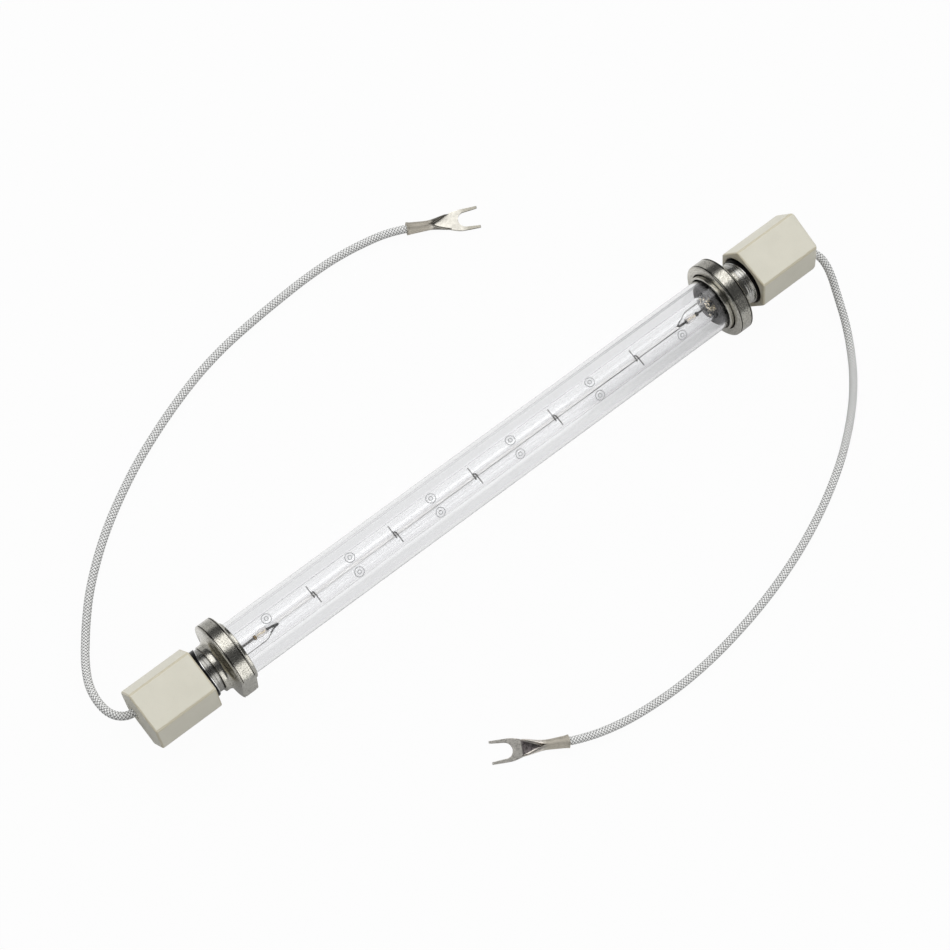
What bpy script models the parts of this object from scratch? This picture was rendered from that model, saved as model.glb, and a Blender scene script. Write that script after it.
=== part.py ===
"""Tubular halogen lamp with ceramic end blocks and braided cables.

Metres, +Z up. The lamp lies along X with its axis over Y = 0 and rests on its two flanges at Z = 0.
Both ends are the same, turned half round about Z. Each is modelled in the frame of its own empty,
where +X points out along the lamp.
"""

import math

import bmesh
import bpy
from mathutils import Vector
from mathutils.geometry import interpolate_bezier

OBJECT_NAME = "tubular_halogen_lamp"

# Glass
TUBE_DIAMETER = 0.0200
TUBE_WALL = 0.0012
INNER_TUBE_DIAMETER = 0.0100
INNER_TUBE_WALL = 0.0008
INNER_TUBE_PAST_PLUG = 0.0046

# Clearances between pieces that fit into each other
FIT = 0.0003
WIRE_FIT = 0.00015

# End caps
FLANGE_SPAN = 0.2140
FLANGE_RIM = 0.0031
FLANGE_THICKNESS = 0.0059
FLANGE_CHAMFER = 0.0005
CAP_BACK_WALL = 0.0016
COVE_LENGTH = 0.0026
COVE_LAND = 0.0005
HUB_WALL = 0.0013
HUB_LENGTH = 0.0012
KEY_FLAT_DEPTH = 0.0020
KEY_FLAT_ANGLE = math.radians(79.0)

# Collar round the glass, in the bore of the cap
COLLAR_WALL = 0.00085
COLLAR_REACH = 0.0015
COLLAR_GROOVE = 0.00045
COLLAR_LIP = 0.00025

# Neck sleeve between cap and ceramic block
NECK_DIAMETER = 0.0168
NECK_WALL = 0.0020
NECK_LENGTH = 0.0042
NECK_IN_BLOCK = 0.0070
SPIGOT_WALL = 0.0010

# Ceramic block, six-sided, round the neck and the cable joint
BLOCK_SIDE_WALL = 0.00265
BLOCK_TOP_WALL = 0.00205
BLOCK_SIDE_LEAN = 0.0042
BLOCK_EDGE = 0.0009
BLOCK_MOUTH_GAP = 0.00095
BLOCK_MOUTH_DEPTH = 0.0020
BLOCK_MOUTH_CHAMFER = 0.0003
BLOCK_CAVITY_STEP = 0.0008
BLOCK_END_WALL = 0.0037
MOUTH_RING_WALL = 0.0003
MOUTH_RING_INSET = 0.0004

# Plug that centres the inner tube in the outer one
PLUG_REACH = 0.0038
PLUG_PLATE = 0.0012
PLUG_SKIRT = 0.0010
PLUG_CHAMFER = 0.0004

# Filament, its supports and its crimps; each support stands at a share of the filament's length
FILAMENT_DIAMETER = 0.00135
FILAMENT_FROM_PLUG = 0.0132
SUPPORT_SHARES = (-0.4100, -0.2133, -0.0183, 0.1817, 0.3894)
SUPPORT_WIRE = 0.0004
SUPPORT_STEP = 0.0010
SUPPORT_LOOP_POINTS = 20
CRIMP_LENGTH = 0.0036
CRIMP_ON_FILAMENT = 0.0016
CRIMP_WALL = 0.0004

# Lead rod with its beads, and the side wire
ROD_DIAMETER = 0.0008
ROD_END_GAP = 0.0003
DARK_BEAD_DIAMETER = 0.0017
DARK_BEAD_LENGTH = 0.0012
GLASS_BEAD_DIAMETER = 0.0028
GLASS_BEAD_LENGTH = 0.0042
GLASS_BEAD_FROM_CRIMP = 0.0015
BEAD_END_SHARE = 0.35
BEAD_POINTS = 6
SIDE_WIRE_DIAMETER = 0.0005
SIDE_WIRE_FROM_WALL = 0.0011
SIDE_WIRE_BEND = 0.0050
SEAL_LENGTH = 0.0030
SEAL_INSET = 0.0005
BUSH_LENGTH = 0.0050
BUSH_INSET = 0.0020

# Shape of the S-bends in rod and side wire: share of the way along, share of the way across
ROD_BEND = ((0.0, 0.0), (0.25, 0.16), (0.50, 0.50), (0.75, 0.84), (1.0, 1.0))
SIDE_WIRE_BEND_SHAPE = ((0.0, 0.0), (0.38, 0.10), (0.70, 0.50), (1.0, 0.95))
BEND_SAMPLES = 3

# Joint between rod and cable, inside the block
JOINT_WALL = 0.0003
JOINT_LENGTH = 0.0090
JOINT_CABLE_DEPTH = 0.0050
JOINT_ROD_DEPTH = 0.0032
JOINT_FROM_NECK = 0.0031
JOINT_FROM_END_WALL = 0.0020
JOINT_FROM_CAVITY = 0.00045

# Cable, and its hole in the block's end wall, at an angle below the horizontal through the axis
CABLE_DIAMETER = 0.0031
CABLE_ANGLE = math.atan2(3.0, 4.0)
CABLE_MOUTH_FLARE = 0.00115
CABLE_MOUTH_DEPTH = 0.0024
CABLE_SAMPLES = 2

# Fork terminals
BARREL_WALL = 0.0005
BARREL_TAPER = 0.0007
BARREL_CABLE_DEPTH = 0.0072
BARREL_SOLID_LENGTH = 0.0012
BORE_END_HEIGHT_SHARE = 0.97
FLARE_LENGTH = 0.0082
TONGUE_LENGTH = 0.0029
FORK_SHEET = 0.0008
SLOT_WIDTH = 0.0055
SLOT_WIDENING = 0.0006
SLOT_DEPTH = 0.0078
TINE_WIDTH = 0.0013
NECK_IN = 0.0019
TROUGH_RIM = 0.0005
TROUGH_SQUARENESS = 3.0
ROUND = 2.0
SLOT_POINTS = 12

# Sections of the fork from the waist (0) to the crease (1): width and height as shares of
# the waist's and the barrel's, and how square the section is
FORK_FLARE = (
    (0.00, 1.00, 0.88, 2.1),
    (0.30, 1.04, 0.70, 2.3),
    (0.60, 1.20, 0.47, 2.7),
    (0.85, 1.42, 0.26, 3.6),
)
FORK_SHEET_SQUARENESS = 12.0
FORK_CREASE_SQUARENESS = 6.0
SHOULDER_SHARE = 0.75
SHOULDER_WIDTH_SHARE = 0.88

# Sections of the trough from the waist (0) to past the crease: share of the trough's width
TROUGH_SECTIONS = ((0.05, 0.10), (0.30, 0.46), (0.60, 0.66), (0.85, 0.84), (1.05, 1.00))

# Where each fork lies: barrel end x and y, and the heading of its tines
FORK_PLACES = {
    "left": (0.0376, 0.0889, math.radians(-25.7)),
    "right": (-0.0318, -0.0918, math.radians(151.6)),
}

# Route of each cable from just outside its block to just before its fork
CABLE_ROUTES = {
    "left": (
        (-0.1481, 0.0047, 0.0116), (-0.1507, 0.0067, 0.0113), (-0.1522, 0.0096, 0.0107),
        (-0.1527, 0.0132, 0.0098), (-0.1524, 0.0173, 0.0084), (-0.1513, 0.0215, 0.0067),
        (-0.1493, 0.0257, 0.0049), (-0.1466, 0.0301, 0.0033), (-0.1433, 0.0346, 0.0021),
        (-0.1390, 0.0400, 0.0016), (-0.1325, 0.0472, 0.0016), (-0.1237, 0.0551, 0.0016),
        (-0.1140, 0.0624, 0.0016), (-0.1035, 0.0689, 0.0016), (-0.0922, 0.0749, 0.0016),
        (-0.0804, 0.0801, 0.0016), (-0.0682, 0.0847, 0.0016), (-0.0556, 0.0886, 0.0016),
        (-0.0427, 0.0914, 0.0016), (-0.0296, 0.0931, 0.0016), (-0.0164, 0.0943, 0.0016),
        (-0.0032, 0.0951, 0.0016), (0.0096, 0.0950, 0.0016), (0.0206, 0.0938, 0.0017),
        (0.0300, 0.0918, 0.0021),
    ),
    "right": (
        (0.1480, -0.0047, 0.0116), (0.1504, -0.0066, 0.0113), (0.1519, -0.0095, 0.0107),
        (0.1522, -0.0132, 0.0097), (0.1516, -0.0176, 0.0082), (0.1504, -0.0222, 0.0064),
        (0.1490, -0.0270, 0.0047), (0.1475, -0.0317, 0.0033), (0.1455, -0.0364, 0.0022),
        (0.1425, -0.0419, 0.0016), (0.1375, -0.0492, 0.0016), (0.1305, -0.0572, 0.0016),
        (0.1221, -0.0647, 0.0016), (0.1124, -0.0718, 0.0016), (0.1017, -0.0781, 0.0016),
        (0.0902, -0.0837, 0.0016), (0.0781, -0.0885, 0.0016), (0.0656, -0.0925, 0.0016),
        (0.0527, -0.0957, 0.0016), (0.0395, -0.0981, 0.0016), (0.0262, -0.0997, 0.0016),
        (0.0128, -0.1003, 0.0016), (-0.0003, -0.0997, 0.0016), (-0.0124, -0.0981, 0.0017),
        (-0.0235, -0.0952, 0.0021),
    ),
}

# Mesh fineness
TURN_STEPS = 48
SMALL_TURN_STEPS = 20
SMALL_RADIUS = 0.0045
WIRE_SIDES_RESOLUTION = 2
BLOCK_EDGE_STEPS = 3
COVE_POINTS = 6
LOFT_POINTS = 24
MERGE = 0.00001

# Turns a piece modelled along Z so that it lies along the lamp
ALONG_LAMP = (0.0, math.pi / 2, 0.0)

# Radii that follow from what fits round or inside what
TUBE_R = TUBE_DIAMETER / 2
TUBE_BORE_R = TUBE_R - TUBE_WALL
INNER_TUBE_R = INNER_TUBE_DIAMETER / 2
INNER_BORE_R = INNER_TUBE_R - INNER_TUBE_WALL
COLLAR_BORE_R = TUBE_R + FIT
COLLAR_R = COLLAR_BORE_R + COLLAR_WALL
CAP_BORE_R = COLLAR_R + COLLAR_GROOVE
FLANGE_R = CAP_BORE_R + FLANGE_RIM
NECK_R = NECK_DIAMETER / 2
NECK_BORE_R = NECK_R - NECK_WALL
SPIGOT_R = NECK_BORE_R + SPIGOT_WALL
SPIGOT_HOLE_R = SPIGOT_R + FIT
HUB_R = SPIGOT_HOLE_R + HUB_WALL
BLOCK_MOUTH_R = NECK_R + BLOCK_MOUTH_GAP
BLOCK_CAVITY_R = NECK_R - BLOCK_CAVITY_STEP
FILAMENT_R = FILAMENT_DIAMETER / 2
ROD_R = ROD_DIAMETER / 2
ROD_HOLE_R = ROD_R + WIRE_FIT
SIDE_WIRE_R = SIDE_WIRE_DIAMETER / 2
SIDE_WIRE_OFFSET = INNER_BORE_R - SIDE_WIRE_FROM_WALL
CRIMP_BORE_R = FILAMENT_R + WIRE_FIT
CRIMP_R = CRIMP_BORE_R + CRIMP_WALL
CABLE_R = CABLE_DIAMETER / 2
CABLE_HOLE_R = CABLE_R + FIT
JOINT_R = CABLE_HOLE_R + JOINT_WALL

# Block section, and the cable's place in it
BLOCK_HALF_WIDTH = BLOCK_MOUTH_R + BLOCK_SIDE_WALL
BLOCK_HALF_HEIGHT = BLOCK_MOUTH_R + BLOCK_TOP_WALL
BLOCK_HALF_TOP = BLOCK_HALF_WIDTH - BLOCK_SIDE_LEAN
CABLE_OFFSET = BLOCK_CAVITY_R - JOINT_R - JOINT_FROM_CAVITY
CABLE_SIDE = -CABLE_OFFSET * math.cos(CABLE_ANGLE)
CABLE_DROP = -CABLE_OFFSET * math.sin(CABLE_ANGLE)

# Places along the lamp, measured out from its middle
AXIS_HEIGHT = FLANGE_R
FLANGE_FRONT = FLANGE_SPAN / 2
FLANGE_BACK = FLANGE_FRONT + FLANGE_THICKNESS
TUBE_SEAT = FLANGE_BACK - CAP_BACK_WALL
TUBE_END = TUBE_SEAT - FIT
HUB_END = FLANGE_BACK + COVE_LENGTH + HUB_LENGTH
BLOCK_FRONT = HUB_END + NECK_LENGTH
NECK_END = BLOCK_FRONT + NECK_IN_BLOCK
JOINT_START = NECK_END + JOINT_FROM_NECK
JOINT_END = JOINT_START + JOINT_LENGTH
CAVITY_END = JOINT_END + JOINT_FROM_END_WALL
BLOCK_END = CAVITY_END + BLOCK_END_WALL
PLUG_FRONT = FLANGE_FRONT - PLUG_REACH
INNER_TUBE_END = PLUG_FRONT + PLUG_PLATE + INNER_TUBE_PAST_PLUG
FILAMENT_END = PLUG_FRONT - FILAMENT_FROM_PLUG
FILAMENT_LENGTH = 2 * FILAMENT_END
CRIMP_START = FILAMENT_END - CRIMP_ON_FILAMENT
CRIMP_END = CRIMP_START + CRIMP_LENGTH
GLASS_BEAD_START = CRIMP_END + GLASS_BEAD_FROM_CRIMP
DARK_BEAD_START = GLASS_BEAD_START + GLASS_BEAD_LENGTH + FIT
SEAL_END = INNER_TUBE_END - SEAL_INSET
SEAL_START = SEAL_END - SEAL_LENGTH
BUSH_START = HUB_END - BUSH_INSET
BUSH_END = BUSH_START + BUSH_LENGTH

# Fork: places along it from the barrel's open end, and its widths
BARREL_DIAMETER = 2 * (CABLE_HOLE_R + BARREL_WALL)
BARREL_WAIST = BARREL_DIAMETER - BARREL_TAPER
BARREL_WAIST_AT = BARREL_CABLE_DEPTH + BARREL_SOLID_LENGTH
FORK_CREASE = BARREL_WAIST_AT + FLARE_LENGTH
SLOT_BOTTOM = FORK_CREASE + TONGUE_LENGTH
FORK_LENGTH = SLOT_BOTTOM + SLOT_DEPTH
FORK_WIDTH = SLOT_WIDTH + 2 * TINE_WIDTH
FORK_NECK_WIDTH = FORK_WIDTH - NECK_IN
TROUGH_WIDTH = FORK_NECK_WIDTH - 2 * TROUGH_RIM


def clear_scene():
    for item in list(bpy.data.objects):
        bpy.data.objects.remove(item, do_unlink=True)
    for group in list(bpy.data.collections):
        bpy.data.collections.remove(group)


def new_collection(name):
    group = bpy.data.collections.new(name)
    bpy.context.scene.collection.children.link(group)
    return group


def new_material(name, colour, roughness, metallic=0.0, transmission=0.0):
    material = bpy.data.materials.new(name)
    material.use_nodes = True
    shader = material.node_tree.nodes["Principled BSDF"]
    shader.inputs["Base Color"].default_value = (*colour, 1.0)
    shader.inputs["Roughness"].default_value = roughness
    shader.inputs["Metallic"].default_value = metallic
    shader.inputs["Transmission Weight"].default_value = transmission
    material.diffuse_color = (*colour, 1.0)
    return material


def new_object(name, data, group, parent=None, rotation=(0.0, 0.0, 0.0), location=(0.0, 0.0, 0.0)):
    item = bpy.data.objects.new(name, data)
    item.parent = parent
    item.rotation_euler = rotation
    item.location = location
    group.objects.link(item)
    return item


def turned(name, profile, group, parent=None, location=(0.0, 0.0, 0.0)):
    """Turn a closed profile of (radius, distance along) points about the lamp's axis.

    The profile runs down its outer side, from the far end inwards, and back up its inner side.
    Small pieces are turned in fewer steps.
    """
    mesh = bpy.data.meshes.new(name)
    points = [(radius, 0.0, along) for radius, along in profile]
    on_axis = [radius == 0.0 for radius, along in profile]
    count = len(points)
    edges = []
    for i in range(count):
        j = (i + 1) % count
        if not (on_axis[i] and on_axis[j]):
            edges.append((i, j))
    mesh.from_pydata(points, edges, [])
    item = new_object(name, mesh, group, parent, ALONG_LAMP, location)
    widest = max(radius for radius, along in profile)
    steps = TURN_STEPS if widest > SMALL_RADIUS else SMALL_TURN_STEPS
    screw = item.modifiers.new("turn", "SCREW")
    screw.axis = "Z"
    screw.angle = 2 * math.pi
    screw.steps = steps
    screw.render_steps = steps
    screw.use_merge_vertices = True
    screw.merge_threshold = MERGE
    screw.use_smooth_shade = False
    return item


def ring_profile(outer, inner, start, end):
    return [(outer, end), (outer, start), (inner, start), (inner, end)]


def rod_profile(radius, start, end):
    return [(0.0, end), (radius, end), (radius, start), (0.0, start)]


def wire(name, points, radius, group, parent=None):
    curve = bpy.data.curves.new(name, "CURVE")
    curve.dimensions = "3D"
    curve.bevel_depth = radius
    curve.bevel_resolution = WIRE_SIDES_RESOLUTION
    curve.use_fill_caps = True
    spline = curve.splines.new("POLY")
    spline.points.add(len(points) - 1)
    for knot, place in zip(spline.points, points):
        knot.co = (*place, 1.0)
    return new_object(name, curve, group, parent)


def smooth_route(points, samples):
    """Points along one smooth curve through the given points, even where they lie unevenly."""
    knots = [Vector(p) for p in points]
    last = len(knots) - 1
    slopes = []
    for i, knot in enumerate(knots):
        before = knots[max(i - 1, 0)]
        after = knots[min(i + 1, last)]
        if i == 0:
            slopes.append((after - knot).normalized())
        elif i == last:
            slopes.append((knot - before).normalized())
        else:
            back = (knot - before).length
            ahead = (after - knot).length
            slope = (knot - before) * (ahead / back) + (after - knot) * (back / ahead)
            slopes.append(slope / (back + ahead))
    route = [knots[0]]
    for i in range(last):
        third = (knots[i + 1] - knots[i]).length / 3
        leave = knots[i] + slopes[i] * third
        arrive = knots[i + 1] - slopes[i + 1] * third
        route += interpolate_bezier(knots[i], leave, arrive, knots[i + 1], samples + 1)[1:]
    return route


def flat_solid(name, outline, thickness, group, parent, rotation=(0.0, 0.0, 0.0), location=(0.0, 0.0, 0.0)):
    """A closed mesh from a flat outline, with its thickness shared to both sides of the outline."""
    curve = bpy.data.curves.new(name, "CURVE")
    curve.dimensions = "2D"
    curve.fill_mode = "BOTH"
    curve.extrude = thickness / 2
    spline = curve.splines.new("POLY")
    spline.points.add(len(outline) - 1)
    spline.use_cyclic_u = True
    for knot, (x, y) in zip(spline.points, outline):
        knot.co = (x, y, 0.0, 1.0)
    source = new_object(name, curve, group)
    bpy.context.view_layer.update()
    depsgraph = bpy.context.evaluated_depsgraph_get()
    mesh = bpy.data.meshes.new_from_object(source.evaluated_get(depsgraph))
    bpy.data.objects.remove(source, do_unlink=True)
    weld(mesh)
    return new_object(name, mesh, group, parent, rotation, location)


def weld(mesh):
    work = bmesh.new()
    work.from_mesh(mesh)
    bmesh.ops.remove_doubles(work, verts=work.verts, dist=MERGE)
    bmesh.ops.recalc_face_normals(work, faces=work.faces)
    work.to_mesh(mesh)
    work.free()


def section(along, width, low, high, squareness):
    """One closed section of a loft: a rounded shape from low to high, at a distance along."""
    middle = (low + high) / 2
    half_height = (high - low) / 2
    points = []
    for i in range(LOFT_POINTS):
        angle = 2 * math.pi * i / LOFT_POINTS
        across = math.copysign(abs(math.cos(angle)) ** (2 / squareness), math.cos(angle))
        up = math.copysign(abs(math.sin(angle)) ** (2 / squareness), math.sin(angle))
        points.append((along, width / 2 * across, middle + half_height * up))
    return points


def loft(name, sections, group, parent):
    work = bmesh.new()
    rings = [[work.verts.new(p) for p in points] for points in sections]
    for ring, following in zip(rings, rings[1:]):
        for i in range(LOFT_POINTS):
            j = (i + 1) % LOFT_POINTS
            work.faces.new((ring[i], ring[j], following[j], following[i]))
    work.faces.new(rings[0])
    work.faces.new(rings[-1])
    bmesh.ops.recalc_face_normals(work, faces=work.faces)
    mesh = bpy.data.meshes.new(name)
    work.to_mesh(mesh)
    work.free()
    return new_object(name, mesh, group, parent)


def cut(item, cutter):
    modifier = item.modifiers.new("cut_" + cutter.name, "BOOLEAN")
    modifier.operation = "DIFFERENCE"
    modifier.solver = "EXACT"
    modifier.object = cutter
    cutter.display_type = "WIRE"
    cutter.hide_render = True


def give(item, material):
    item.data.materials.append(material)
    return item


def make_tubes(parts, materials):
    centre = (0.0, 0.0, AXIS_HEIGHT)
    outer_profile = ring_profile(TUBE_R, TUBE_BORE_R, -TUBE_END, TUBE_END)
    outer = turned("outer_tube", outer_profile, parts, None, centre)
    give(outer, materials["glass"])
    inner_profile = ring_profile(INNER_TUBE_R, INNER_BORE_R, -INNER_TUBE_END, INNER_TUBE_END)
    inner = turned("inner_tube", inner_profile, parts, None, centre)
    give(inner, materials["quartz"])


def make_filament(parts, materials):
    ends = [(-FILAMENT_END, 0.0, AXIS_HEIGHT), (FILAMENT_END, 0.0, AXIS_HEIGHT)]
    give(wire("filament", ends, FILAMENT_R, parts), materials["tungsten"])


def support_route(place):
    """A support wire: in from one wall, once round the filament, and out to the other wall."""
    loop_r = FILAMENT_R + WIRE_FIT + SUPPORT_WIRE / 2
    wall_r = INNER_BORE_R - WIRE_FIT - SUPPORT_WIRE / 2
    reach = math.sqrt(wall_r ** 2 - loop_r ** 2)
    start = place - SUPPORT_STEP / 2
    route = [(start, reach, AXIS_HEIGHT + loop_r)]
    for i in range(SUPPORT_LOOP_POINTS + 1):
        share = i / SUPPORT_LOOP_POINTS
        angle = 2 * math.pi * share
        across = -loop_r * math.sin(angle)
        up = loop_r * math.cos(angle)
        route.append((start + SUPPORT_STEP * share, across, AXIS_HEIGHT + up))
    route.append((start + SUPPORT_STEP, -reach, AXIS_HEIGHT + loop_r))
    return route


def make_supports(parts, materials):
    for i, share in enumerate(SUPPORT_SHARES):
        route = support_route(share * FILAMENT_LENGTH)
        support = wire(f"support_{i + 1}", route, SUPPORT_WIRE / 2, parts)
        give(support, materials["support"])


def cove_points():
    """The hollow curve from the hub out to the back of the flange."""
    rim_r = FLANGE_R - FLANGE_CHAMFER - COVE_LAND
    start = FLANGE_BACK + COVE_LENGTH
    points = []
    for i in range(COVE_POINTS + 1):
        angle = math.pi / 2 * i / COVE_POINTS
        points.append((rim_r - (rim_r - HUB_R) * math.cos(angle), start - COVE_LENGTH * math.sin(angle)))
    return points


def make_end_cap(side, parts, cutters, materials, parent):
    profile = [(HUB_R, HUB_END)]
    profile += cove_points()
    profile += [
        (FLANGE_R - FLANGE_CHAMFER, FLANGE_BACK),
        (FLANGE_R, FLANGE_BACK - FLANGE_CHAMFER),
        (FLANGE_R, FLANGE_FRONT + FLANGE_CHAMFER),
        (FLANGE_R - FLANGE_CHAMFER, FLANGE_FRONT),
        (CAP_BORE_R, FLANGE_FRONT),
        (CAP_BORE_R, TUBE_SEAT),
        (SPIGOT_HOLE_R, TUBE_SEAT),
        (SPIGOT_HOLE_R, HUB_END),
    ]
    cap = turned(f"{side}_end_cap", profile, parts, parent)
    give(cap, materials["nickel"])
    if side == "left":
        cut(cap, key_flat_cutter(cutters, parent))


def key_flat_cutter(cutters, parent):
    """A box whose near face is the key flat, on the side of the flange that faces the viewer."""
    size = 2 * FLANGE_R
    work = bmesh.new()
    bmesh.ops.create_cube(work, size=size)
    mesh = bpy.data.meshes.new("key_flat_cutter")
    work.to_mesh(mesh)
    work.free()
    out = FLANGE_R - KEY_FLAT_DEPTH + size / 2
    place = (FLANGE_FRONT, out * math.sin(KEY_FLAT_ANGLE), out * math.cos(KEY_FLAT_ANGLE))
    return new_object("key_flat_cutter", mesh, cutters, parent, (-KEY_FLAT_ANGLE, 0.0, 0.0), place)


def make_collar(side, parts, materials, parent):
    front = FLANGE_FRONT - COLLAR_REACH
    profile = [
        (COLLAR_R, TUBE_END),
        (COLLAR_R, front + COLLAR_LIP),
        (COLLAR_R - COLLAR_LIP, front),
        (COLLAR_BORE_R, front),
        (COLLAR_BORE_R, TUBE_END),
    ]
    give(turned(f"{side}_glass_collar", profile, parts, parent), materials["nickel"])


def make_plug(side, parts, materials, parent):
    plug_r = TUBE_BORE_R - FIT
    profile = [
        (plug_r, TUBE_END),
        (plug_r, PLUG_FRONT + PLUG_CHAMFER),
        (plug_r - PLUG_CHAMFER, PLUG_FRONT),
        (INNER_TUBE_R + FIT, PLUG_FRONT),
        (INNER_TUBE_R + FIT, PLUG_FRONT + PLUG_PLATE),
        (plug_r - PLUG_SKIRT, PLUG_FRONT + PLUG_PLATE),
        (plug_r - PLUG_SKIRT, TUBE_END),
    ]
    give(turned(f"{side}_centring_plug", profile, parts, parent), materials["dark_metal"])


def make_neck(side, parts, materials, parent):
    profile = [
        (NECK_R, NECK_END),
        (NECK_R, HUB_END + FIT),
        (SPIGOT_R, HUB_END + FIT),
        (SPIGOT_R, TUBE_SEAT),
        (NECK_BORE_R, TUBE_SEAT),
        (NECK_BORE_R, NECK_END),
    ]
    give(turned(f"{side}_neck_sleeve", profile, parts, parent), materials["chrome"])


def make_mouth_ring(side, parts, materials, parent):
    ring_r = BLOCK_MOUTH_R - WIRE_FIT
    start = BLOCK_FRONT + MOUTH_RING_INSET
    end = BLOCK_FRONT + BLOCK_MOUTH_DEPTH - FIT
    profile = ring_profile(ring_r, ring_r - MOUTH_RING_WALL, start, end)
    give(turned(f"{side}_mouth_ring", profile, parts, parent), materials["chrome"])


def make_block(side, parts, cutters, materials, parent):
    """The ceramic block, hollow for the neck, the joint and the cable."""
    up = BLOCK_HALF_HEIGHT
    top = BLOCK_HALF_TOP
    outline = [
        (up, top), (0.0, BLOCK_HALF_WIDTH), (-up, top), (-up, -top), (0.0, -BLOCK_HALF_WIDTH), (up, -top),
    ]
    length = BLOCK_END - BLOCK_FRONT
    middle = ((BLOCK_FRONT + BLOCK_END) / 2, 0.0, 0.0)
    block = flat_solid(f"{side}_ceramic_block", outline, length, parts, parent, ALONG_LAMP, middle)
    edges = block.modifiers.new("edges", "BEVEL")
    edges.width = BLOCK_EDGE
    edges.segments = BLOCK_EDGE_STEPS
    edges.limit_method = "ANGLE"

    seat_r = NECK_R + FIT
    front = BLOCK_FRONT
    hollow = [
        (0.0, CAVITY_END),
        (BLOCK_CAVITY_R, CAVITY_END),
        (BLOCK_CAVITY_R, NECK_END + FIT),
        (seat_r, NECK_END + FIT),
        (seat_r, front + BLOCK_MOUTH_DEPTH),
        (BLOCK_MOUTH_R, front + BLOCK_MOUTH_DEPTH),
        (BLOCK_MOUTH_R, front + BLOCK_MOUTH_CHAMFER),
        (BLOCK_MOUTH_R + BLOCK_MOUTH_CHAMFER * 2, front - BLOCK_MOUTH_CHAMFER),
        (0.0, front - BLOCK_MOUTH_CHAMFER),
    ]
    cut(block, turned(f"{side}_block_hollow", hollow, cutters, parent))

    place = (0.0, CABLE_SIDE, CABLE_DROP)
    mouth_start = BLOCK_END - CABLE_MOUTH_DEPTH
    past_end = BLOCK_END + CABLE_MOUTH_DEPTH
    flared_r = CABLE_HOLE_R + CABLE_MOUTH_FLARE * (past_end - mouth_start) / CABLE_MOUTH_DEPTH
    cable_hole = [
        (0.0, past_end),
        (flared_r, past_end),
        (CABLE_HOLE_R, mouth_start),
        (CABLE_HOLE_R, CAVITY_END - BLOCK_END_WALL),
        (0.0, CAVITY_END - BLOCK_END_WALL),
    ]
    cut(block, turned(f"{side}_cable_hole", cable_hole, cutters, parent, place))
    give(block, materials["ceramic"])


def make_lead(side, parts, materials, parent):
    """Lead rod: straight from the filament through the neck, then over to the cable joint."""
    turn_start = BUSH_END + ROD_DIAMETER
    turn_length = JOINT_START - ROD_DIAMETER - turn_start
    bend = []
    for along, across in ROD_BEND:
        bend.append((turn_start + along * turn_length, across * CABLE_SIDE, across * CABLE_DROP))
    start = (FILAMENT_END + ROD_END_GAP, 0.0, 0.0)
    end = (JOINT_START + JOINT_ROD_DEPTH - ROD_END_GAP, CABLE_SIDE, CABLE_DROP)
    route = [start] + smooth_route(bend, BEND_SAMPLES) + [end]
    give(wire(f"{side}_lead_rod", route, ROD_R, parts, parent), materials["lead"])


def bead_profile(diameter, start, length):
    """A barrel-shaped bead with a hole for the lead rod."""
    half = length / 2
    wall = diameter / 2 - ROD_HOLE_R
    points = []
    for i in range(BEAD_POINTS + 1):
        angle = math.pi * i / BEAD_POINTS
        share = BEAD_END_SHARE + (1 - BEAD_END_SHARE) * math.sin(angle)
        points.append((ROD_HOLE_R + wall * share, start + half + half * math.cos(angle)))
    return points + [(ROD_HOLE_R, start), (ROD_HOLE_R, start + length)]


def make_beads(side, parts, materials, parent):
    dark = bead_profile(DARK_BEAD_DIAMETER, DARK_BEAD_START, DARK_BEAD_LENGTH)
    give(turned(f"{side}_dark_bead", dark, parts, parent), materials["brown"])
    glass = bead_profile(GLASS_BEAD_DIAMETER, GLASS_BEAD_START, GLASS_BEAD_LENGTH)
    give(turned(f"{side}_glass_bead", glass, parts, parent), materials["quartz"])


def make_crimp(side, parts, materials, parent):
    """Sleeve that joins the filament's end to the lead rod."""
    step = FILAMENT_END + ROD_END_GAP / 2
    profile = [
        (CRIMP_R, CRIMP_END),
        (CRIMP_R, CRIMP_START),
        (CRIMP_BORE_R, CRIMP_START),
        (CRIMP_BORE_R, step),
        (ROD_HOLE_R, step),
        (ROD_HOLE_R, CRIMP_END),
    ]
    give(turned(f"{side}_filament_crimp", profile, parts, parent), materials["dark_metal"])


def make_side_wire(side, parts, materials, parent):
    """Wire from the seal, along inside the inner tube, down to the side of the crimp."""
    beside_crimp = CRIMP_R + WIRE_FIT + SIDE_WIRE_R
    way_in = SIDE_WIRE_OFFSET - beside_crimp
    bend = []
    for along, across in SIDE_WIRE_BEND_SHAPE:
        bend.append((CRIMP_END + (1 - along) * SIDE_WIRE_BEND, SIDE_WIRE_OFFSET - across * way_in, 0.0))
    bend.append((CRIMP_END - CRIMP_LENGTH / 2, beside_crimp, 0.0))
    route = [(SEAL_END, SIDE_WIRE_OFFSET, 0.0)] + smooth_route(bend, BEND_SAMPLES)
    route += [(CRIMP_START, beside_crimp, 0.0)]
    give(wire(f"{side}_side_wire", route, SIDE_WIRE_R, parts, parent), materials["lead"])


def make_seal(side, parts, cutters, materials, parent):
    """Glass disc that closes the inner tube round the lead rod and the side wire."""
    profile = ring_profile(INNER_BORE_R - FIT, ROD_HOLE_R, SEAL_START, SEAL_END)
    seal = turned(f"{side}_end_seal", profile, parts, parent)
    past = SEAL_LENGTH / 2
    hole = rod_profile(SIDE_WIRE_R + WIRE_FIT, SEAL_START - past, SEAL_END + past)
    cut(seal, turned(f"{side}_side_wire_hole", hole, cutters, parent, (0.0, SIDE_WIRE_OFFSET, 0.0)))
    give(seal, materials["quartz"])


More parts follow.
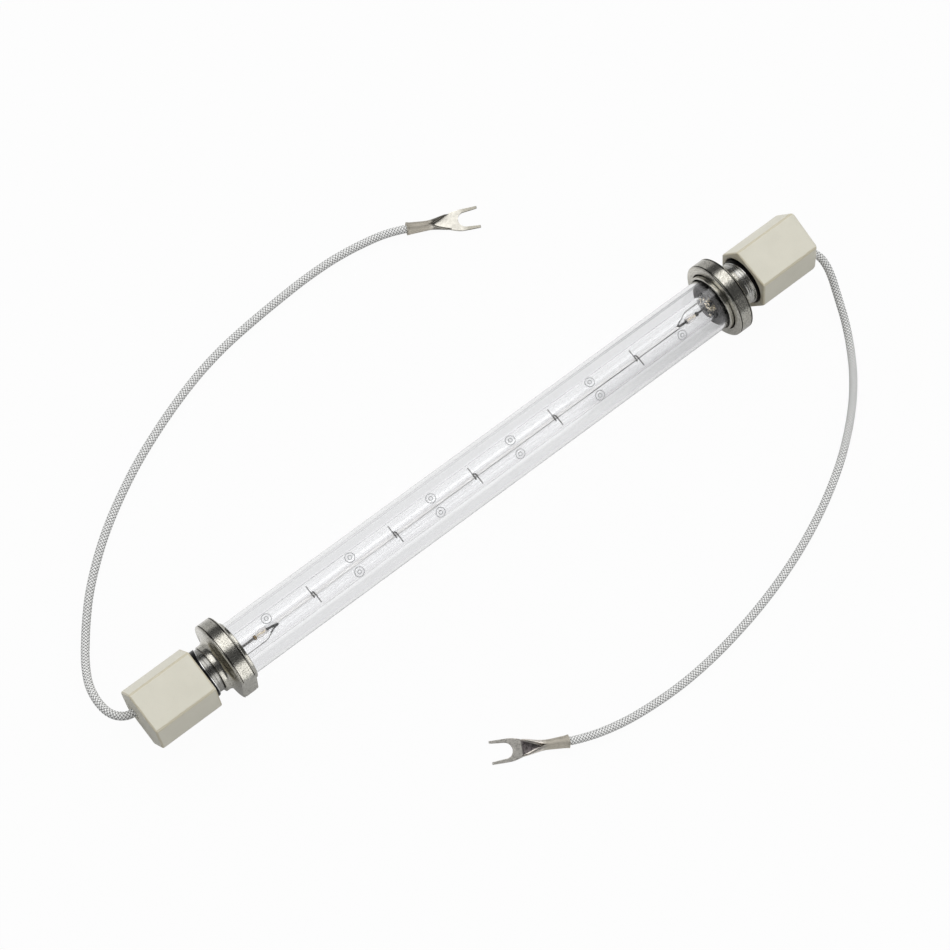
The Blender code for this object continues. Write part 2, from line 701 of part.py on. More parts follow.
def make_bush(side, parts, materials, parent):
    bush = ring_profile(NECK_BORE_R - FIT, ROD_HOLE_R, BUSH_START, BUSH_END)
    give(turned(f"{side}_lead_bush", bush, parts, parent), materials["ceramic"])


def make_joint(side, parts, materials, parent):
    """Crimped joint between lead rod and cable, with a blind hole at each end."""
    profile = [
        (JOINT_R, JOINT_END),
        (JOINT_R, JOINT_START),
        (ROD_HOLE_R, JOINT_START),
        (ROD_HOLE_R, JOINT_START + JOINT_ROD_DEPTH),
        (0.0, JOINT_START + JOINT_ROD_DEPTH),
        (0.0, JOINT_END - JOINT_CABLE_DEPTH),
        (CABLE_HOLE_R, JOINT_END - JOINT_CABLE_DEPTH),
        (CABLE_HOLE_R, JOINT_END),
    ]
    joint = turned(f"{side}_cable_joint", profile, parts, parent, (0.0, CABLE_SIDE, CABLE_DROP))
    give(joint, materials["tin"])


def cable_route(side, parent_matrix):
    """Route in world places: out of the joint and the block, along the chosen points, into the fork."""
    inside = [
        parent_matrix @ Vector((JOINT_END - JOINT_CABLE_DEPTH + FIT, CABLE_SIDE, CABLE_DROP)),
        parent_matrix @ Vector(((JOINT_END + BLOCK_END) / 2, CABLE_SIDE, CABLE_DROP)),
        parent_matrix @ Vector((BLOCK_END - CABLE_MOUTH_DEPTH / 2, CABLE_SIDE, CABLE_DROP)),
    ]
    fork_x, fork_y, heading = FORK_PLACES[side]
    ahead = Vector((math.cos(heading), math.sin(heading), 0.0))
    barrel_end = Vector((fork_x, fork_y, BARREL_DIAMETER / 2))
    in_barrel = [
        barrel_end,
        barrel_end + ahead * (BARREL_CABLE_DEPTH / 2),
        barrel_end + ahead * (BARREL_CABLE_DEPTH - FIT),
    ]
    return inside + [Vector(p) for p in CABLE_ROUTES[side]] + in_barrel


def make_cable(side, parts, materials, parent):
    route = smooth_route(cable_route(side, parent.matrix_world), CABLE_SAMPLES)
    give(wire(f"{side}_cable", route, CABLE_R, parts), materials["braid"])


def slot_outline():
    """Outline of the fork's slot: a round bottom that opens to a slightly wider mouth."""
    bottom_r = SLOT_WIDTH / 2
    centre = SLOT_BOTTOM + bottom_r
    past_mouth = FORK_LENGTH + bottom_r
    slope = SLOT_WIDENING / 2 / (FORK_LENGTH - centre)
    half_width = bottom_r + slope * (past_mouth - centre)
    points = [(past_mouth, half_width)]
    for i in range(SLOT_POINTS + 1):
        angle = math.pi / 2 + math.pi * i / SLOT_POINTS
        points.append((centre + bottom_r * math.cos(angle), bottom_r * math.sin(angle)))
    return points + [(past_mouth, -half_width)]


def fork_sections():
    """Round barrel, then the flare down to the crease, then the flat tongue."""
    half_way_width = (BARREL_DIAMETER + BARREL_WAIST) / 2
    bore_end_top = BARREL_DIAMETER * BORE_END_HEIGHT_SHARE
    sections = [
        section(0.0, BARREL_DIAMETER, 0.0, BARREL_DIAMETER, ROUND),
        section(BARREL_CABLE_DEPTH, half_way_width, 0.0, bore_end_top, ROUND),
    ]
    for share, width, height, squareness in FORK_FLARE:
        along = BARREL_WAIST_AT + share * FLARE_LENGTH
        top = BARREL_DIAMETER * height
        sections.append(section(along, BARREL_WAIST * width, 0.0, top, squareness))
    shoulder = FORK_CREASE + SHOULDER_SHARE * TONGUE_LENGTH
    shoulder_width = FORK_NECK_WIDTH + NECK_IN * SHOULDER_WIDTH_SHARE
    square = FORK_SHEET_SQUARENESS
    return sections + [
        section(FORK_CREASE, FORK_NECK_WIDTH, 0.0, FORK_SHEET, FORK_CREASE_SQUARENESS),
        section(shoulder, shoulder_width, 0.0, FORK_SHEET, square),
        section(SLOT_BOTTOM + SLOT_WIDTH / 4, FORK_WIDTH, 0.0, FORK_SHEET, square),
        section(FORK_LENGTH, FORK_WIDTH, 0.0, FORK_SHEET, square),
    ]


def trough_sections():
    """The hollow between the two rims of the flare, open at the top."""
    past_top = BARREL_DIAMETER * 3 - FORK_SHEET
    sections = []
    for share, width in TROUGH_SECTIONS:
        along = BARREL_WAIST_AT + share * FLARE_LENGTH
        sections.append(section(along, TROUGH_WIDTH * width, FORK_SHEET, past_top, TROUGH_SQUARENESS))
    return sections


def make_fork(side, parts, cutters, materials):
    """Fork terminal: a round barrel that opens through a trough into a flat two-tined tongue."""
    fork_x, fork_y, heading = FORK_PLACES[side]
    place = new_object(f"{side}_fork_place", None, cutters, None, (0.0, 0.0, heading), (fork_x, fork_y, 0.0))
    fork = loft(f"{side}_fork_terminal", fork_sections(), parts, place)
    cut(fork, loft(f"{side}_fork_trough", trough_sections(), cutters, place))
    cut(fork, flat_solid(f"{side}_fork_slot", slot_outline(), FORK_SHEET * 4, cutters, place))
    bore = rod_profile(CABLE_HOLE_R, -BARREL_CABLE_DEPTH / 2, BARREL_CABLE_DEPTH)
    middle = (0.0, 0.0, BARREL_DIAMETER / 2)
    cut(fork, turned(f"{side}_barrel_bore", bore, cutters, place, middle))
    give(fork, materials["tin"])


def make_end(side, parts, cutters, materials):
    turn = math.pi if side == "left" else 0.0
    frame = new_object(f"{side}_end", None, parts, None, (0.0, 0.0, turn), (0.0, 0.0, AXIS_HEIGHT))
    bpy.context.view_layer.update()
    make_end_cap(side, parts, cutters, materials, frame)
    make_collar(side, parts, materials, frame)
    make_plug(side, parts, materials, frame)
    make_neck(side, parts, materials, frame)
    make_mouth_ring(side, parts, materials, frame)
    make_block(side, parts, cutters, materials, frame)
    make_lead(side, parts, materials, frame)
    make_beads(side, parts, materials, frame)
    make_crimp(side, parts, materials, frame)
    make_side_wire(side, parts, materials, frame)
    make_seal(side, parts, cutters, materials, frame)
    make_bush(side, parts, materials, frame)
    make_joint(side, parts, materials, frame)
    make_cable(side, parts, materials, frame)
    make_fork(side, parts, cutters, materials)


def make_materials():
    return {
        "glass": new_material("clear_glass", (0.93, 0.94, 0.96), 0.03, 0.0, 1.0),
        "quartz": new_material("quartz_glass", (0.95, 0.95, 0.96), 0.05, 0.0, 1.0),
        "nickel": new_material("satin_nickel", (0.62, 0.60, 0.56), 0.30, 1.0),
        "chrome": new_material("polished_steel", (0.70, 0.70, 0.70), 0.12, 1.0),
        "dark_metal": new_material("dark_metal", (0.16, 0.15, 0.15), 0.45, 1.0),
        "ceramic": new_material("cream_ceramic", (0.62, 0.59, 0.49), 0.45),
        "tungsten": new_material("tungsten", (0.32, 0.30, 0.28), 0.40, 1.0),
        "support": new_material("support_wire", (0.28, 0.27, 0.27), 0.40, 1.0),
        "lead": new_material("lead_wire", (0.30, 0.28, 0.26), 0.35, 1.0),
        "brown": new_material("brown_bead", (0.30, 0.20, 0.08), 0.40, 0.6),
        "braid": new_material("glass_braid", (0.55, 0.55, 0.55), 0.65),
        "tin": new_material("tinned_copper", (0.66, 0.62, 0.56), 0.38, 1.0),
    }


def main():
    clear_scene()
    parts = new_collection(OBJECT_NAME)
    cutters = new_collection("cutters")
    materials = make_materials()
    make_tubes(parts, materials)
    make_filament(parts, materials)
    make_supports(parts, materials)
    for side in ("left", "right"):
        make_end(side, parts, cutters, materials)
    bpy.context.view_layer.update()


main()
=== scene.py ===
import math
import random
from functools import partialmethod

import bmesh
import bpy
import numpy as np
from mathutils import Matrix, Vector
from mathutils.geometry import interpolate_bezier


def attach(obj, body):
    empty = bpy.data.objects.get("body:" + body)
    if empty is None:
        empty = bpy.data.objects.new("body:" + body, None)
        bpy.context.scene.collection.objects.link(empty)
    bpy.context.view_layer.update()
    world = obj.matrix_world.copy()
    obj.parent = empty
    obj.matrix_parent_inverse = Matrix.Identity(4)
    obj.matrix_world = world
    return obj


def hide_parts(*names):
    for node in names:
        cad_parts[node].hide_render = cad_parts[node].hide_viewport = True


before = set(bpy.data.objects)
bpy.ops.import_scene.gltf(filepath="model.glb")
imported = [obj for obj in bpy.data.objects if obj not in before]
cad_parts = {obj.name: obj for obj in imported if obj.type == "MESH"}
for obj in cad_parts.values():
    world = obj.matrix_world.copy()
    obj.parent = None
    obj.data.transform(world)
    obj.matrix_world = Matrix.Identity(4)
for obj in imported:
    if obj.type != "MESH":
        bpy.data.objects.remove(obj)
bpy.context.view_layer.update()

# Sizes in millimetres, as in the part: distance out from the middle is "along"
MM = 0.001
AXIS = 14.7

TUBE_R, TUBE_BORE_R, TUBE_END = 10.0, 8.8, 111.0
INNER_R, INNER_BORE_R, INNER_END = 5.0, 4.2, 109.0
FLANGE_R, CAP_BORE_R = 14.7, 11.6
FLANGE_FRONT, FLANGE_BACK, TUBE_SEAT = 107.0, 112.9, 111.3
HUB_R, HUB_START, HUB_END, SPIGOT_HOLE_R = 9.0, 115.5, 116.7, 7.7
COLLAR_R, COLLAR_BORE_R, COLLAR_FRONT = 11.15, 10.3, 105.5
PLUG_R, PLUG_HOLE_R, PLUG_SKIRT_R = 8.5, 5.3, 7.5
PLUG_FACE = {"left": 105.7, "right": 104.1}
NECK_BORE_R, SPIGOT_R, NECK_START, NECK_END = 6.4, 7.4, 117.0, 127.9
BLOCK_FRONT, BLOCK_END = 120.9, 145.7
BLOCK_BACK = {"left": (145.5, 0.42, 0.0), "right": (147.8, 1.0, 0.07)}  # outer end, roundness, slant
BLOCK_HALF_WIDTH, BLOCK_HALF_HEIGHT, BLOCK_HALF_TOP = 12.0, 11.4, 7.8
MOUTH_R, MOUTH_FLOOR, SEAT_R, SEAT_END, CAVITY_R, CAVITY_END = 9.35, 125.4, 8.7, 128.2, 7.6, 142.0
CABLE_HOLE_R, CABLE_HOLE_START = 1.85, 138.3
FILAMENT_END, FILAMENT_R = 90.0, 0.675
BEAD_START, BEAD_END, BEAD_R = 93.5, 97.7, 1.4
DARK_BEAD_START, DARK_BEAD_END, DARK_BEAD_R = 98.0, 99.2, 0.85
ROD_R, SIDE_WIRE_R, SIDE_WIRE_OFFSET = 0.4, 0.18, 3.1
SEAL_START, SEAL_END = 105.5, 108.5
BUSH_END = 119.7
JOINT_START, JOINT_SIDE, JOINT_DROP = 131.0, -4.0, -3.0
KEY_FLAT_DISTANCE, KEY_FLAT_NORMAL = 12.7, (0.0, -0.981627, 0.190809)
SUPPORT_PLACES = (-73.8, -38.4, -3.3, 32.7, 70.1)
SUPPORT_R, SUPPORT_STEP = 0.22, 1.0
CABLE_D = 3.1

FORK_PLACES = {"left": (37.6, 88.9, math.radians(-25.7)), "right": (-31.8, -91.8, math.radians(151.6))}
BARREL_D = 4.7
CABLE_ROUTES = {
    "left": (
        (-148.1, 4.7, 11.6), (-150.7, 6.7, 11.3), (-152.2, 9.6, 10.7), (-152.7, 13.2, 9.8), (-152.4, 17.3, 8.4),
        (-151.3, 21.5, 6.7), (-149.3, 25.7, 4.9), (-146.6, 30.1, 3.3), (-143.3, 34.6, 2.1), (-139.0, 40.0, 1.6),
        (-132.5, 47.2, 1.6), (-123.7, 55.1, 1.6), (-114.0, 62.4, 1.6), (-103.5, 68.9, 1.6), (-92.2, 74.9, 1.6),
        (-80.4, 80.1, 1.6), (-68.2, 84.7, 1.6), (-55.6, 88.6, 1.6), (-42.7, 91.4, 1.6), (-29.6, 93.1, 1.6),
        (-16.4, 94.3, 1.6), (-3.2, 95.1, 1.6), (9.6, 95.0, 1.6), (20.6, 93.8, 1.7), (30.0, 91.8, 2.1),
    ),
    "right": (
        (148.0, -4.7, 11.6), (150.4, -6.6, 11.3), (151.9, -9.5, 10.7), (152.2, -13.2, 9.7), (151.6, -17.6, 8.2),
        (150.4, -22.2, 6.4), (149.0, -27.0, 4.7), (147.5, -31.7, 3.3), (145.5, -36.4, 2.2), (142.5, -41.9, 1.6),
        (137.5, -49.2, 1.6), (130.5, -57.2, 1.6), (122.1, -64.7, 1.6), (112.4, -71.8, 1.6), (101.7, -78.1, 1.6),
        (90.2, -83.7, 1.6), (78.1, -88.5, 1.6), (65.6, -92.5, 1.6), (52.7, -95.7, 1.6), (39.5, -98.1, 1.6),
        (26.2, -99.7, 1.6), (12.8, -100.3, 1.6), (-0.3, -99.7, 1.6), (-12.4, -98.1, 1.7), (-23.5, -95.2, 2.1),
    ),
}

SIDES = {"left": -1, "right": 1}


# Camera, fitted to the photograph
def make_camera():
    data = bpy.data.cameras.new("camera")
    data.sensor_width = 36.0
    data.lens = 96.41
    data.clip_start, data.clip_end = 0.05, 60.0
    camera = placed("camera", data)
    right = Vector((0.77748, -0.61390, 0.13658))
    up = Vector((0.56922, 0.77924, 0.26223))
    back = Vector((-0.26741, -0.12614, 0.95529))
    turn = Matrix((right, up, back)).transposed().to_4x4()
    camera.matrix_world = Matrix.Translation((-0.2389, -0.1110, 0.8583)) @ turn
    bpy.context.scene.camera = camera


# Node helpers
class Recipe:
    """The nodes of one material or world. A value is a number, a colour or another node's socket."""

    def __init__(self, name, kind=None):
        self.owner = (bpy.data.materials if kind is None else kind).new(name)
        self.owner.use_nodes = True
        self.tree = self.owner.node_tree
        self.tree.nodes.clear()

    def node(self, kind, values=None, **settings):
        made = self.tree.nodes.new("ShaderNode" + kind)
        for key, value in settings.items():
            setattr(made, key, value)
        for key, value in (values or {}).items():
            if isinstance(value, bpy.types.NodeSocket):
                self.tree.links.new(value, made.inputs[key])
            else:
                made.inputs[key].default_value = value
        return made

    def math(self, operation, *values):
        return self.node("Math", dict(enumerate(values)), operation=operation).outputs[0]

    add = partialmethod(math, "ADD")
    sub = partialmethod(math, "SUBTRACT")
    mul = partialmethod(math, "MULTIPLY")
    size = partialmethod(math, "ABSOLUTE")
    least = partialmethod(math, "MINIMUM")
    most = partialmethod(math, "MAXIMUM")

    def place(self, scale=(1.0, 1.0, 1.0)):
        """Place on the object in millimetres, stretched by scale."""
        coords = self.node("TexCoord").outputs["Object"]
        factors = tuple(1000.0 * s for s in scale)
        return self.node("VectorMath", {0: coords, 1: factors}, operation="MULTIPLY").outputs[0]

    def split(self, vector):
        made = self.node("SeparateXYZ", {0: vector})
        return made.outputs[0], made.outputs[1], made.outputs[2]

    def join(self, x, y, z):
        return self.node("CombineXYZ", {0: x, 1: y, 2: z}).outputs[0]

    def noise(self, scale, detail=2.0, roughness=0.5, vector=None):
        vector = self.place() if vector is None else vector
        values = {"Vector": vector, "Scale": scale, "Detail": detail, "Roughness": roughness}
        return self.node("TexNoise", values).outputs[0]

    def ramp(self, factor, *stops):
        made = self.node("ValToRGB", {0: factor})
        elements = made.color_ramp.elements
        while len(elements) < len(stops):
            elements.new(1.0)
        for element, (position, colour) in zip(elements, stops):
            element.position = position
            element.color = (*colour, 1.0)
        return made.outputs[0]

    def shades(self, factor, colour, low, high, darker, lighter):
        """A ramp from a darker shade of a colour to a lighter one."""
        dark, light = (tuple(min(1.0, c * share) for c in colour) for share in (1.0 - darker, 1.0 + lighter))
        return self.ramp(factor, (low, dark), (0.5, colour), (high, light))

    def remap(self, value, low, high, to_low=0.0, to_high=1.0):
        values = {0: value, 1: low, 2: high, 3: to_low, 4: to_high}
        return self.node("MapRange", values, interpolation_type="SMOOTHSTEP").outputs[0]

    def mix(self, factor, one, two, blend="MIX"):
        made = self.node("Mix", data_type="RGBA", blend_type=blend)
        for key, value in ((0, factor), (6, one), (7, two)):
            if isinstance(value, bpy.types.NodeSocket):
                self.tree.links.new(value, made.inputs[key])
            elif key == 0:
                made.inputs[key].default_value = value
            else:
                made.inputs[key].default_value = (*value, 1.0)
        return made.outputs[2]

    def bump(self, height, distance, strength=1.0):
        return self.node("Bump", {"Height": height, "Distance": distance * MM, "Strength": strength}).outputs[0]

    def end(self, **values):
        """Principled shader with these values, into the output."""
        named = {key.replace("_", " ").title().replace("Ior", "IOR"): value for key, value in values.items()}
        return self.output("OutputMaterial", self.node("BsdfPrincipled", named).outputs[0])

    def output(self, kind, shader):
        self.node(kind, {0: shader})
        return self.owner


# Materials
GREY_STREAK_TURN, GREY_STREAK_HALF = math.radians(50.5), math.radians(2.6)
GROOVE_AT, GROOVE_DEPTH = 0.67, 0.42  # the flange's grooves: their middle from its faces, and their depth
FIBRES_PER_YARN = 5


def glass(name, colour, ior, streak, grey_streak=False):
    """Clear glass with faint streaks. With the streak option it has a grey line along its far side, deepening towards
    +X as painted shade, and a near side darkened as painted shadow.
    """
    r = Recipe(name)
    drawn = r.noise(1.3, 3.0, vector=r.place((0.012, 1.0, 1.0)))
    tint = r.ramp(drawn, (0.25, tuple(0.985 * c for c in colour)), (0.75, colour))
    if grey_streak:
        # A grey line along the far side; its deepening towards +X is painted shade near the cap
        x, y, z = r.split(r.place())
        turn = r.math("ARCTAN2", y, r.sub(z, AXIS))
        off = r.size(r.sub(turn, GREY_STREAK_TURN))
        line = r.remap(off, 0.2 * GREY_STREAK_HALF, GREY_STREAK_HALF, 1.0, 0.0)
        depth = r.remap(x, 20.0, 85.0, 0.42, 1.0)
        tint = r.mix(r.mul(line, depth), tint, (0.22, 0.22, 0.23))
        # Painted shadow: the near side darker, more so towards +X
        near_side_shadow = r.remap(y, -6.2, -5.0, 1.0, 0.0)
        tint = r.mix(r.mul(near_side_shadow, r.remap(x, 38.0, 92.0, 0.032, 0.155)), tint, (0.0, 0.0, 0.0))
    normal = r.bump(drawn, streak)
    return r.end(base_color=tint, roughness=0.0, ior=ior, transmission_weight=1.0, normal=normal)


def nickel(name, colour, roughness, grain, ring_share, groove, flange=False):
    """Turned metal: fine rings round the lamp's axis, with a satin grain over them."""
    r = Recipe(name)
    x, y, z = r.split(r.place())
    squares = r.add(r.math("POWER", y, 2.0), r.math("POWER", r.sub(z, AXIS), 2.0))
    radius = r.math("POWER", squares, 0.5)
    rings = r.noise(2.6, 4.0, 0.75, r.join(x, radius, 0.0))
    speck = r.noise(2.6, 4.0, 0.8)
    broad = r.noise(0.22, 2.0)
    lit = r.add(r.mul(speck, 1.0 - ring_share), r.mul(rings, ring_share))
    tint = r.shades(lit, colour, 0.36, 0.64, grain, 0.45 * grain)
    tint = r.mix(0.10, tint, r.ramp(broad, (0.3, (0.56, 0.54, 0.50)), (0.7, (0.74, 0.72, 0.68))), "OVERLAY")
    if flange:  # the turned groove inside each rim is painted dark: painted shade in the recess
        below_rim = r.remap(radius, FLANGE_R - 0.16, FLANGE_R - 0.04, 1.0, 0.0)
        deep = r.mul(below_rim, r.remap(radius, FLANGE_R - 0.52, FLANGE_R - 0.44, 0.0, 1.0))
        for at in (FLANGE_FRONT + GROOVE_AT, FLANGE_BACK - GROOVE_AT):
            near = r.remap(r.size(r.sub(r.size(x), at)), 0.24, 0.30, 1.0, 0.0)
            tint = r.mix(r.mul(r.mul(deep, near), 0.85), tint, (0.05, 0.045, 0.035))
    rough = r.add(r.mul(speck, 0.20), roughness - 0.10)
    return r.end(base_color=tint, metallic=1.0, roughness=rough, normal=r.bump(lit, groove, 0.6))


def dull_metal(name, colour, roughness, scale, spread):
    """Plain metal with blotches, for plugs, wires and beads."""
    r = Recipe(name)
    spots = r.noise(scale, 4.0, 0.65)
    tint = r.shades(spots, colour, 0.32, 0.7, spread, spread)
    rough = r.add(r.mul(spots, 0.2), roughness - 0.1)
    return r.end(base_color=tint, metallic=1.0, roughness=rough, normal=r.bump(spots, 0.05, 0.5))


def filament_metal():
    """Drawn tungsten, its tint raised to near white as painted highlight, with a darker band of painted shade along
    its near side, deeper towards +X.
    """
    r = Recipe("tungsten")
    x, y, z = r.split(r.place())
    turn = r.math("ARCTAN2", y, r.sub(z, AXIS))
    off = r.size(r.sub(turn, math.radians(-72.0)))
    # Painted shade: a dark band along the near side, deeper towards +X
    near_band_shade = r.mul(r.remap(off, 0.40, 0.75, 1.0, 0.0), r.remap(x, -80.0, 80.0, 0.10, 1.0))
    spots = r.noise(2.5, 4.0, 0.65)
    # Near-white tint: the tungsten's own grey raised as painted highlight
    tint = r.ramp(spots, (0.32, (0.90, 0.89, 0.87)), (0.7, (0.98, 0.97, 0.96)))
    tint = r.mix(near_band_shade, tint, (0.03, 0.028, 0.027))
    return r.end(base_color=tint, metallic=0.35, roughness=0.3, normal=r.bump(spots, 0.03, 0.4))


def ceramic_block_material():
    """Unglazed cream ceramic, tan along its edges and paler right on them as painted highlight, with a fine speckle.
    """
    r = Recipe("cream_ceramic_block")
    x, y, z = r.split(r.place())
    out = r.size(x)
    up = r.size(r.sub(z, AXIS))
    across = r.size(y)
    lean = math.hypot(BLOCK_HALF_HEIGHT, BLOCK_HALF_WIDTH - BLOCK_HALF_TOP)
    from_top = r.sub(BLOCK_HALF_HEIGHT, up)
    reach = r.add(r.mul(across, BLOCK_HALF_HEIGHT / lean), r.mul(up, (BLOCK_HALF_WIDTH - BLOCK_HALF_TOP) / lean))
    from_side = r.sub(BLOCK_HALF_WIDTH * BLOCK_HALF_HEIGHT / lean, reach)
    from_front = r.sub(out, BLOCK_FRONT)
    right_end = r.math("GREATER_THAN", x, 0.0)
    (left_back, _, _), (right_back, _, slant) = BLOCK_BACK["left"], BLOCK_BACK["right"]
    further = r.add(r.mul(y, slant), right_back - left_back)
    end = r.add(left_back, r.mul(right_end, further))
    from_back = r.sub(end, out)
    low = r.most(r.least(from_top, from_side), r.least(from_front, from_back))
    high = r.least(r.most(from_top, from_side), r.most(from_front, from_back))
    edge = r.least(low, high)
    wobble = r.noise(0.35, 3.0)
    edge = r.add(edge, r.mul(r.sub(wobble, 0.5), 0.5))
    cloud = r.noise(0.12, 3.0, 0.55)
    body = r.ramp(cloud, (0.3, (0.605, 0.582, 0.490)), (0.7, (0.640, 0.615, 0.520)))
    tan = r.remap(r.size(r.sub(edge, 0.42)), 0.0, 0.34, 1.0, 0.0)
    body = r.mix(r.mul(tan, 0.62), body, (0.46, 0.40, 0.26))
    mouth = r.mul(r.remap(from_front, 0.0, 0.5, 1.0, 0.0), r.remap(wobble, 0.35, 0.65, 0.15, 0.55))
    body = r.mix(mouth, body, (0.44, 0.37, 0.23))
    # Painted highlight: paler right along the edges
    edge_highlight = r.remap(edge, 0.05, 0.25, 0.45, 0.0)
    body = r.mix(edge_highlight, body, (0.72, 0.70, 0.60))
    fine = r.noise(2.2, 3.0, 0.6)
    body = r.mix(r.remap(fine, 0.60, 0.72, 0.0, 0.12), body, (0.34, 0.31, 0.23))
    grain = r.noise(4.5, 2.0)
    rough = r.add(r.mul(cloud, 0.14), 0.34)
    height = r.add(r.mul(fine, 0.6), r.mul(grain, 0.4))
    return r.end(base_color=body, roughness=rough, ior=1.5, normal=r.bump(height, 0.03, 0.4))


def plain_ceramic():
    r = Recipe("cream_ceramic_bush")
    cloud = r.noise(0.8, 3.0)
    tint = r.ramp(cloud, (0.3, (0.56, 0.53, 0.43)), (0.7, (0.66, 0.63, 0.53)))
    return r.end(base_color=tint, roughness=0.5, normal=r.bump(r.noise(4.0), 0.03, 0.4))


def braid_material():
    """Glass yarns from the braid's own map: U counts yarns round the cable, V along it. The dark between yarns and the
    darker sides are painted shade.
    """
    r = Recipe("glass_braid")
    u, v, _ = r.split(r.node("UVMap", uv_map="braid").outputs[0])
    one, two = r.add(u, v), r.sub(u, v)
    one_in, two_in = r.math("FRACT", one), r.math("FRACT", two)
    lift = r.mul(r.math("SINE", r.mul(one, math.pi)), r.math("SINE", r.mul(two, math.pi)))
    on_top = r.math("GREATER_THAN", lift, 0.0)
    across = r.node("Mix", {0: on_top, 2: two_in, 3: one_in}, data_type="FLOAT").outputs[0]
    fibres = r.add(r.mul(r.math("COSINE", r.mul(across, 2 * math.pi * FIBRES_PER_YARN)), 0.5), 0.5)
    centre = r.size(r.sub(across, 0.5))
    # Painted shade between the yarns
    gap = r.remap(centre, 0.20, 0.42, 0.0, 1.0)
    mottled = r.noise(1.4, 3.0)
    tint = r.ramp(mottled, (0.3, (0.78, 0.78, 0.765)), (0.7, (0.94, 0.94, 0.925)))
    tint = r.mix(r.mul(fibres, 0.12), tint, (0.45, 0.45, 0.44))
    # Painted shade: darker towards the cable's sides as seen
    rim = r.remap(r.node("LayerWeight", {"Blend": 0.5}).outputs["Facing"], 0.45, 0.95, 0.0, 0.45)
    tint = r.mix(rim, tint, (0.26, 0.26, 0.25))
    tint = r.mix(r.mul(gap, 0.94), tint, (0.07, 0.068, 0.064))
    return r.end(base_color=tint, roughness=0.5, normal=r.bump(fibres, 0.04, 0.5))


def tin(name, colour, spread, bump, place=None, lean=None, trough=0.0, walls=None, tines=0.0):
    """Matte tin over copper, mottled by handling. On a fork the barrel is duller and darker, the left fork's tines
    darker still; the right fork's trough takes a painted dark reflection, and the walls painted shade on the left fork
    and a painted highlight on the right.
    """
    r = Recipe(name)
    blot = r.noise(0.9, 4.0, 0.65)
    fine = r.noise(4.0, 3.0, 0.7)
    both = r.add(r.mul(blot, 0.55), r.mul(fine, 0.45))
    tint = r.shades(both, colour, 0.36, 0.64, spread, spread * 0.4)
    rough = r.remap(both, 0.35, 0.65, 0.46, 0.34)
    if place:
        x, y, heading = place
        px, py, pz = r.split(r.place())
        dx, dy = r.sub(px, x), r.sub(py, y)
        along = r.add(r.mul(dx, math.cos(heading)), r.mul(dy, math.sin(heading)))
        folded = r.mul(r.remap(along, 8.6, 10.0), r.remap(along, 16.1, 16.6, 1.0, 0.0))
        across = r.sub(r.mul(dy, math.cos(heading)), r.mul(dx, math.sin(heading)))
        off = r.size(r.sub(across, r.remap(along, 8.0, 16.0, *lean)))
        half = r.mul(r.sub(along, 9.5), 0.39)
        inside = r.remap(r.sub(off, half), -0.18, 0.18, 1.0, 0.0)
        inside = r.mul(inside, r.remap(pz, 2.2, 2.8, 1.0, 0.0))
        low = r.mul(folded, inside)
        high = r.mul(folded, r.sub(1.0, inside))
        # Painted dark reflection in the trough, mottled like the tin
        trough_reflection = r.ramp(both, (0.44, (0.05, 0.042, 0.045)), (0.56, (0.30, 0.26, 0.265)))
        tint = r.mix(r.mul(low, trough), tint, trough_reflection)
        # Painted light on the walls: shade on the left fork, a highlight on the right
        tint = r.mix(r.mul(high, walls[0]), tint, walls[1])
        tint = r.mix(r.mul(r.remap(along, 20.0, 23.0), tines), tint, (0.36, 0.34, 0.28))
        barrel = r.remap(along, 7.5, 10.5, 1.0, 0.0)
        tint = r.mix(r.mul(barrel, 0.88), tint, (0.68, 0.635, 0.55))
        rough = r.add(rough, r.mul(barrel, 0.26))
    return r.end(base_color=tint, metallic=1.0, roughness=rough, normal=r.bump(both, bump, 0.7))


def mark_material():
    # Dark grey mottled rings, nearly opaque, on the glass
    r = Recipe("dark_ring_mark")
    mottle = r.noise(6.0, 2.0)
    tint = r.ramp(mottle, (0.3, (0.14, 0.14, 0.15)), (0.7, (0.28, 0.29, 0.30)))
    return r.end(base_color=tint, roughness=0.6, alpha=0.9)


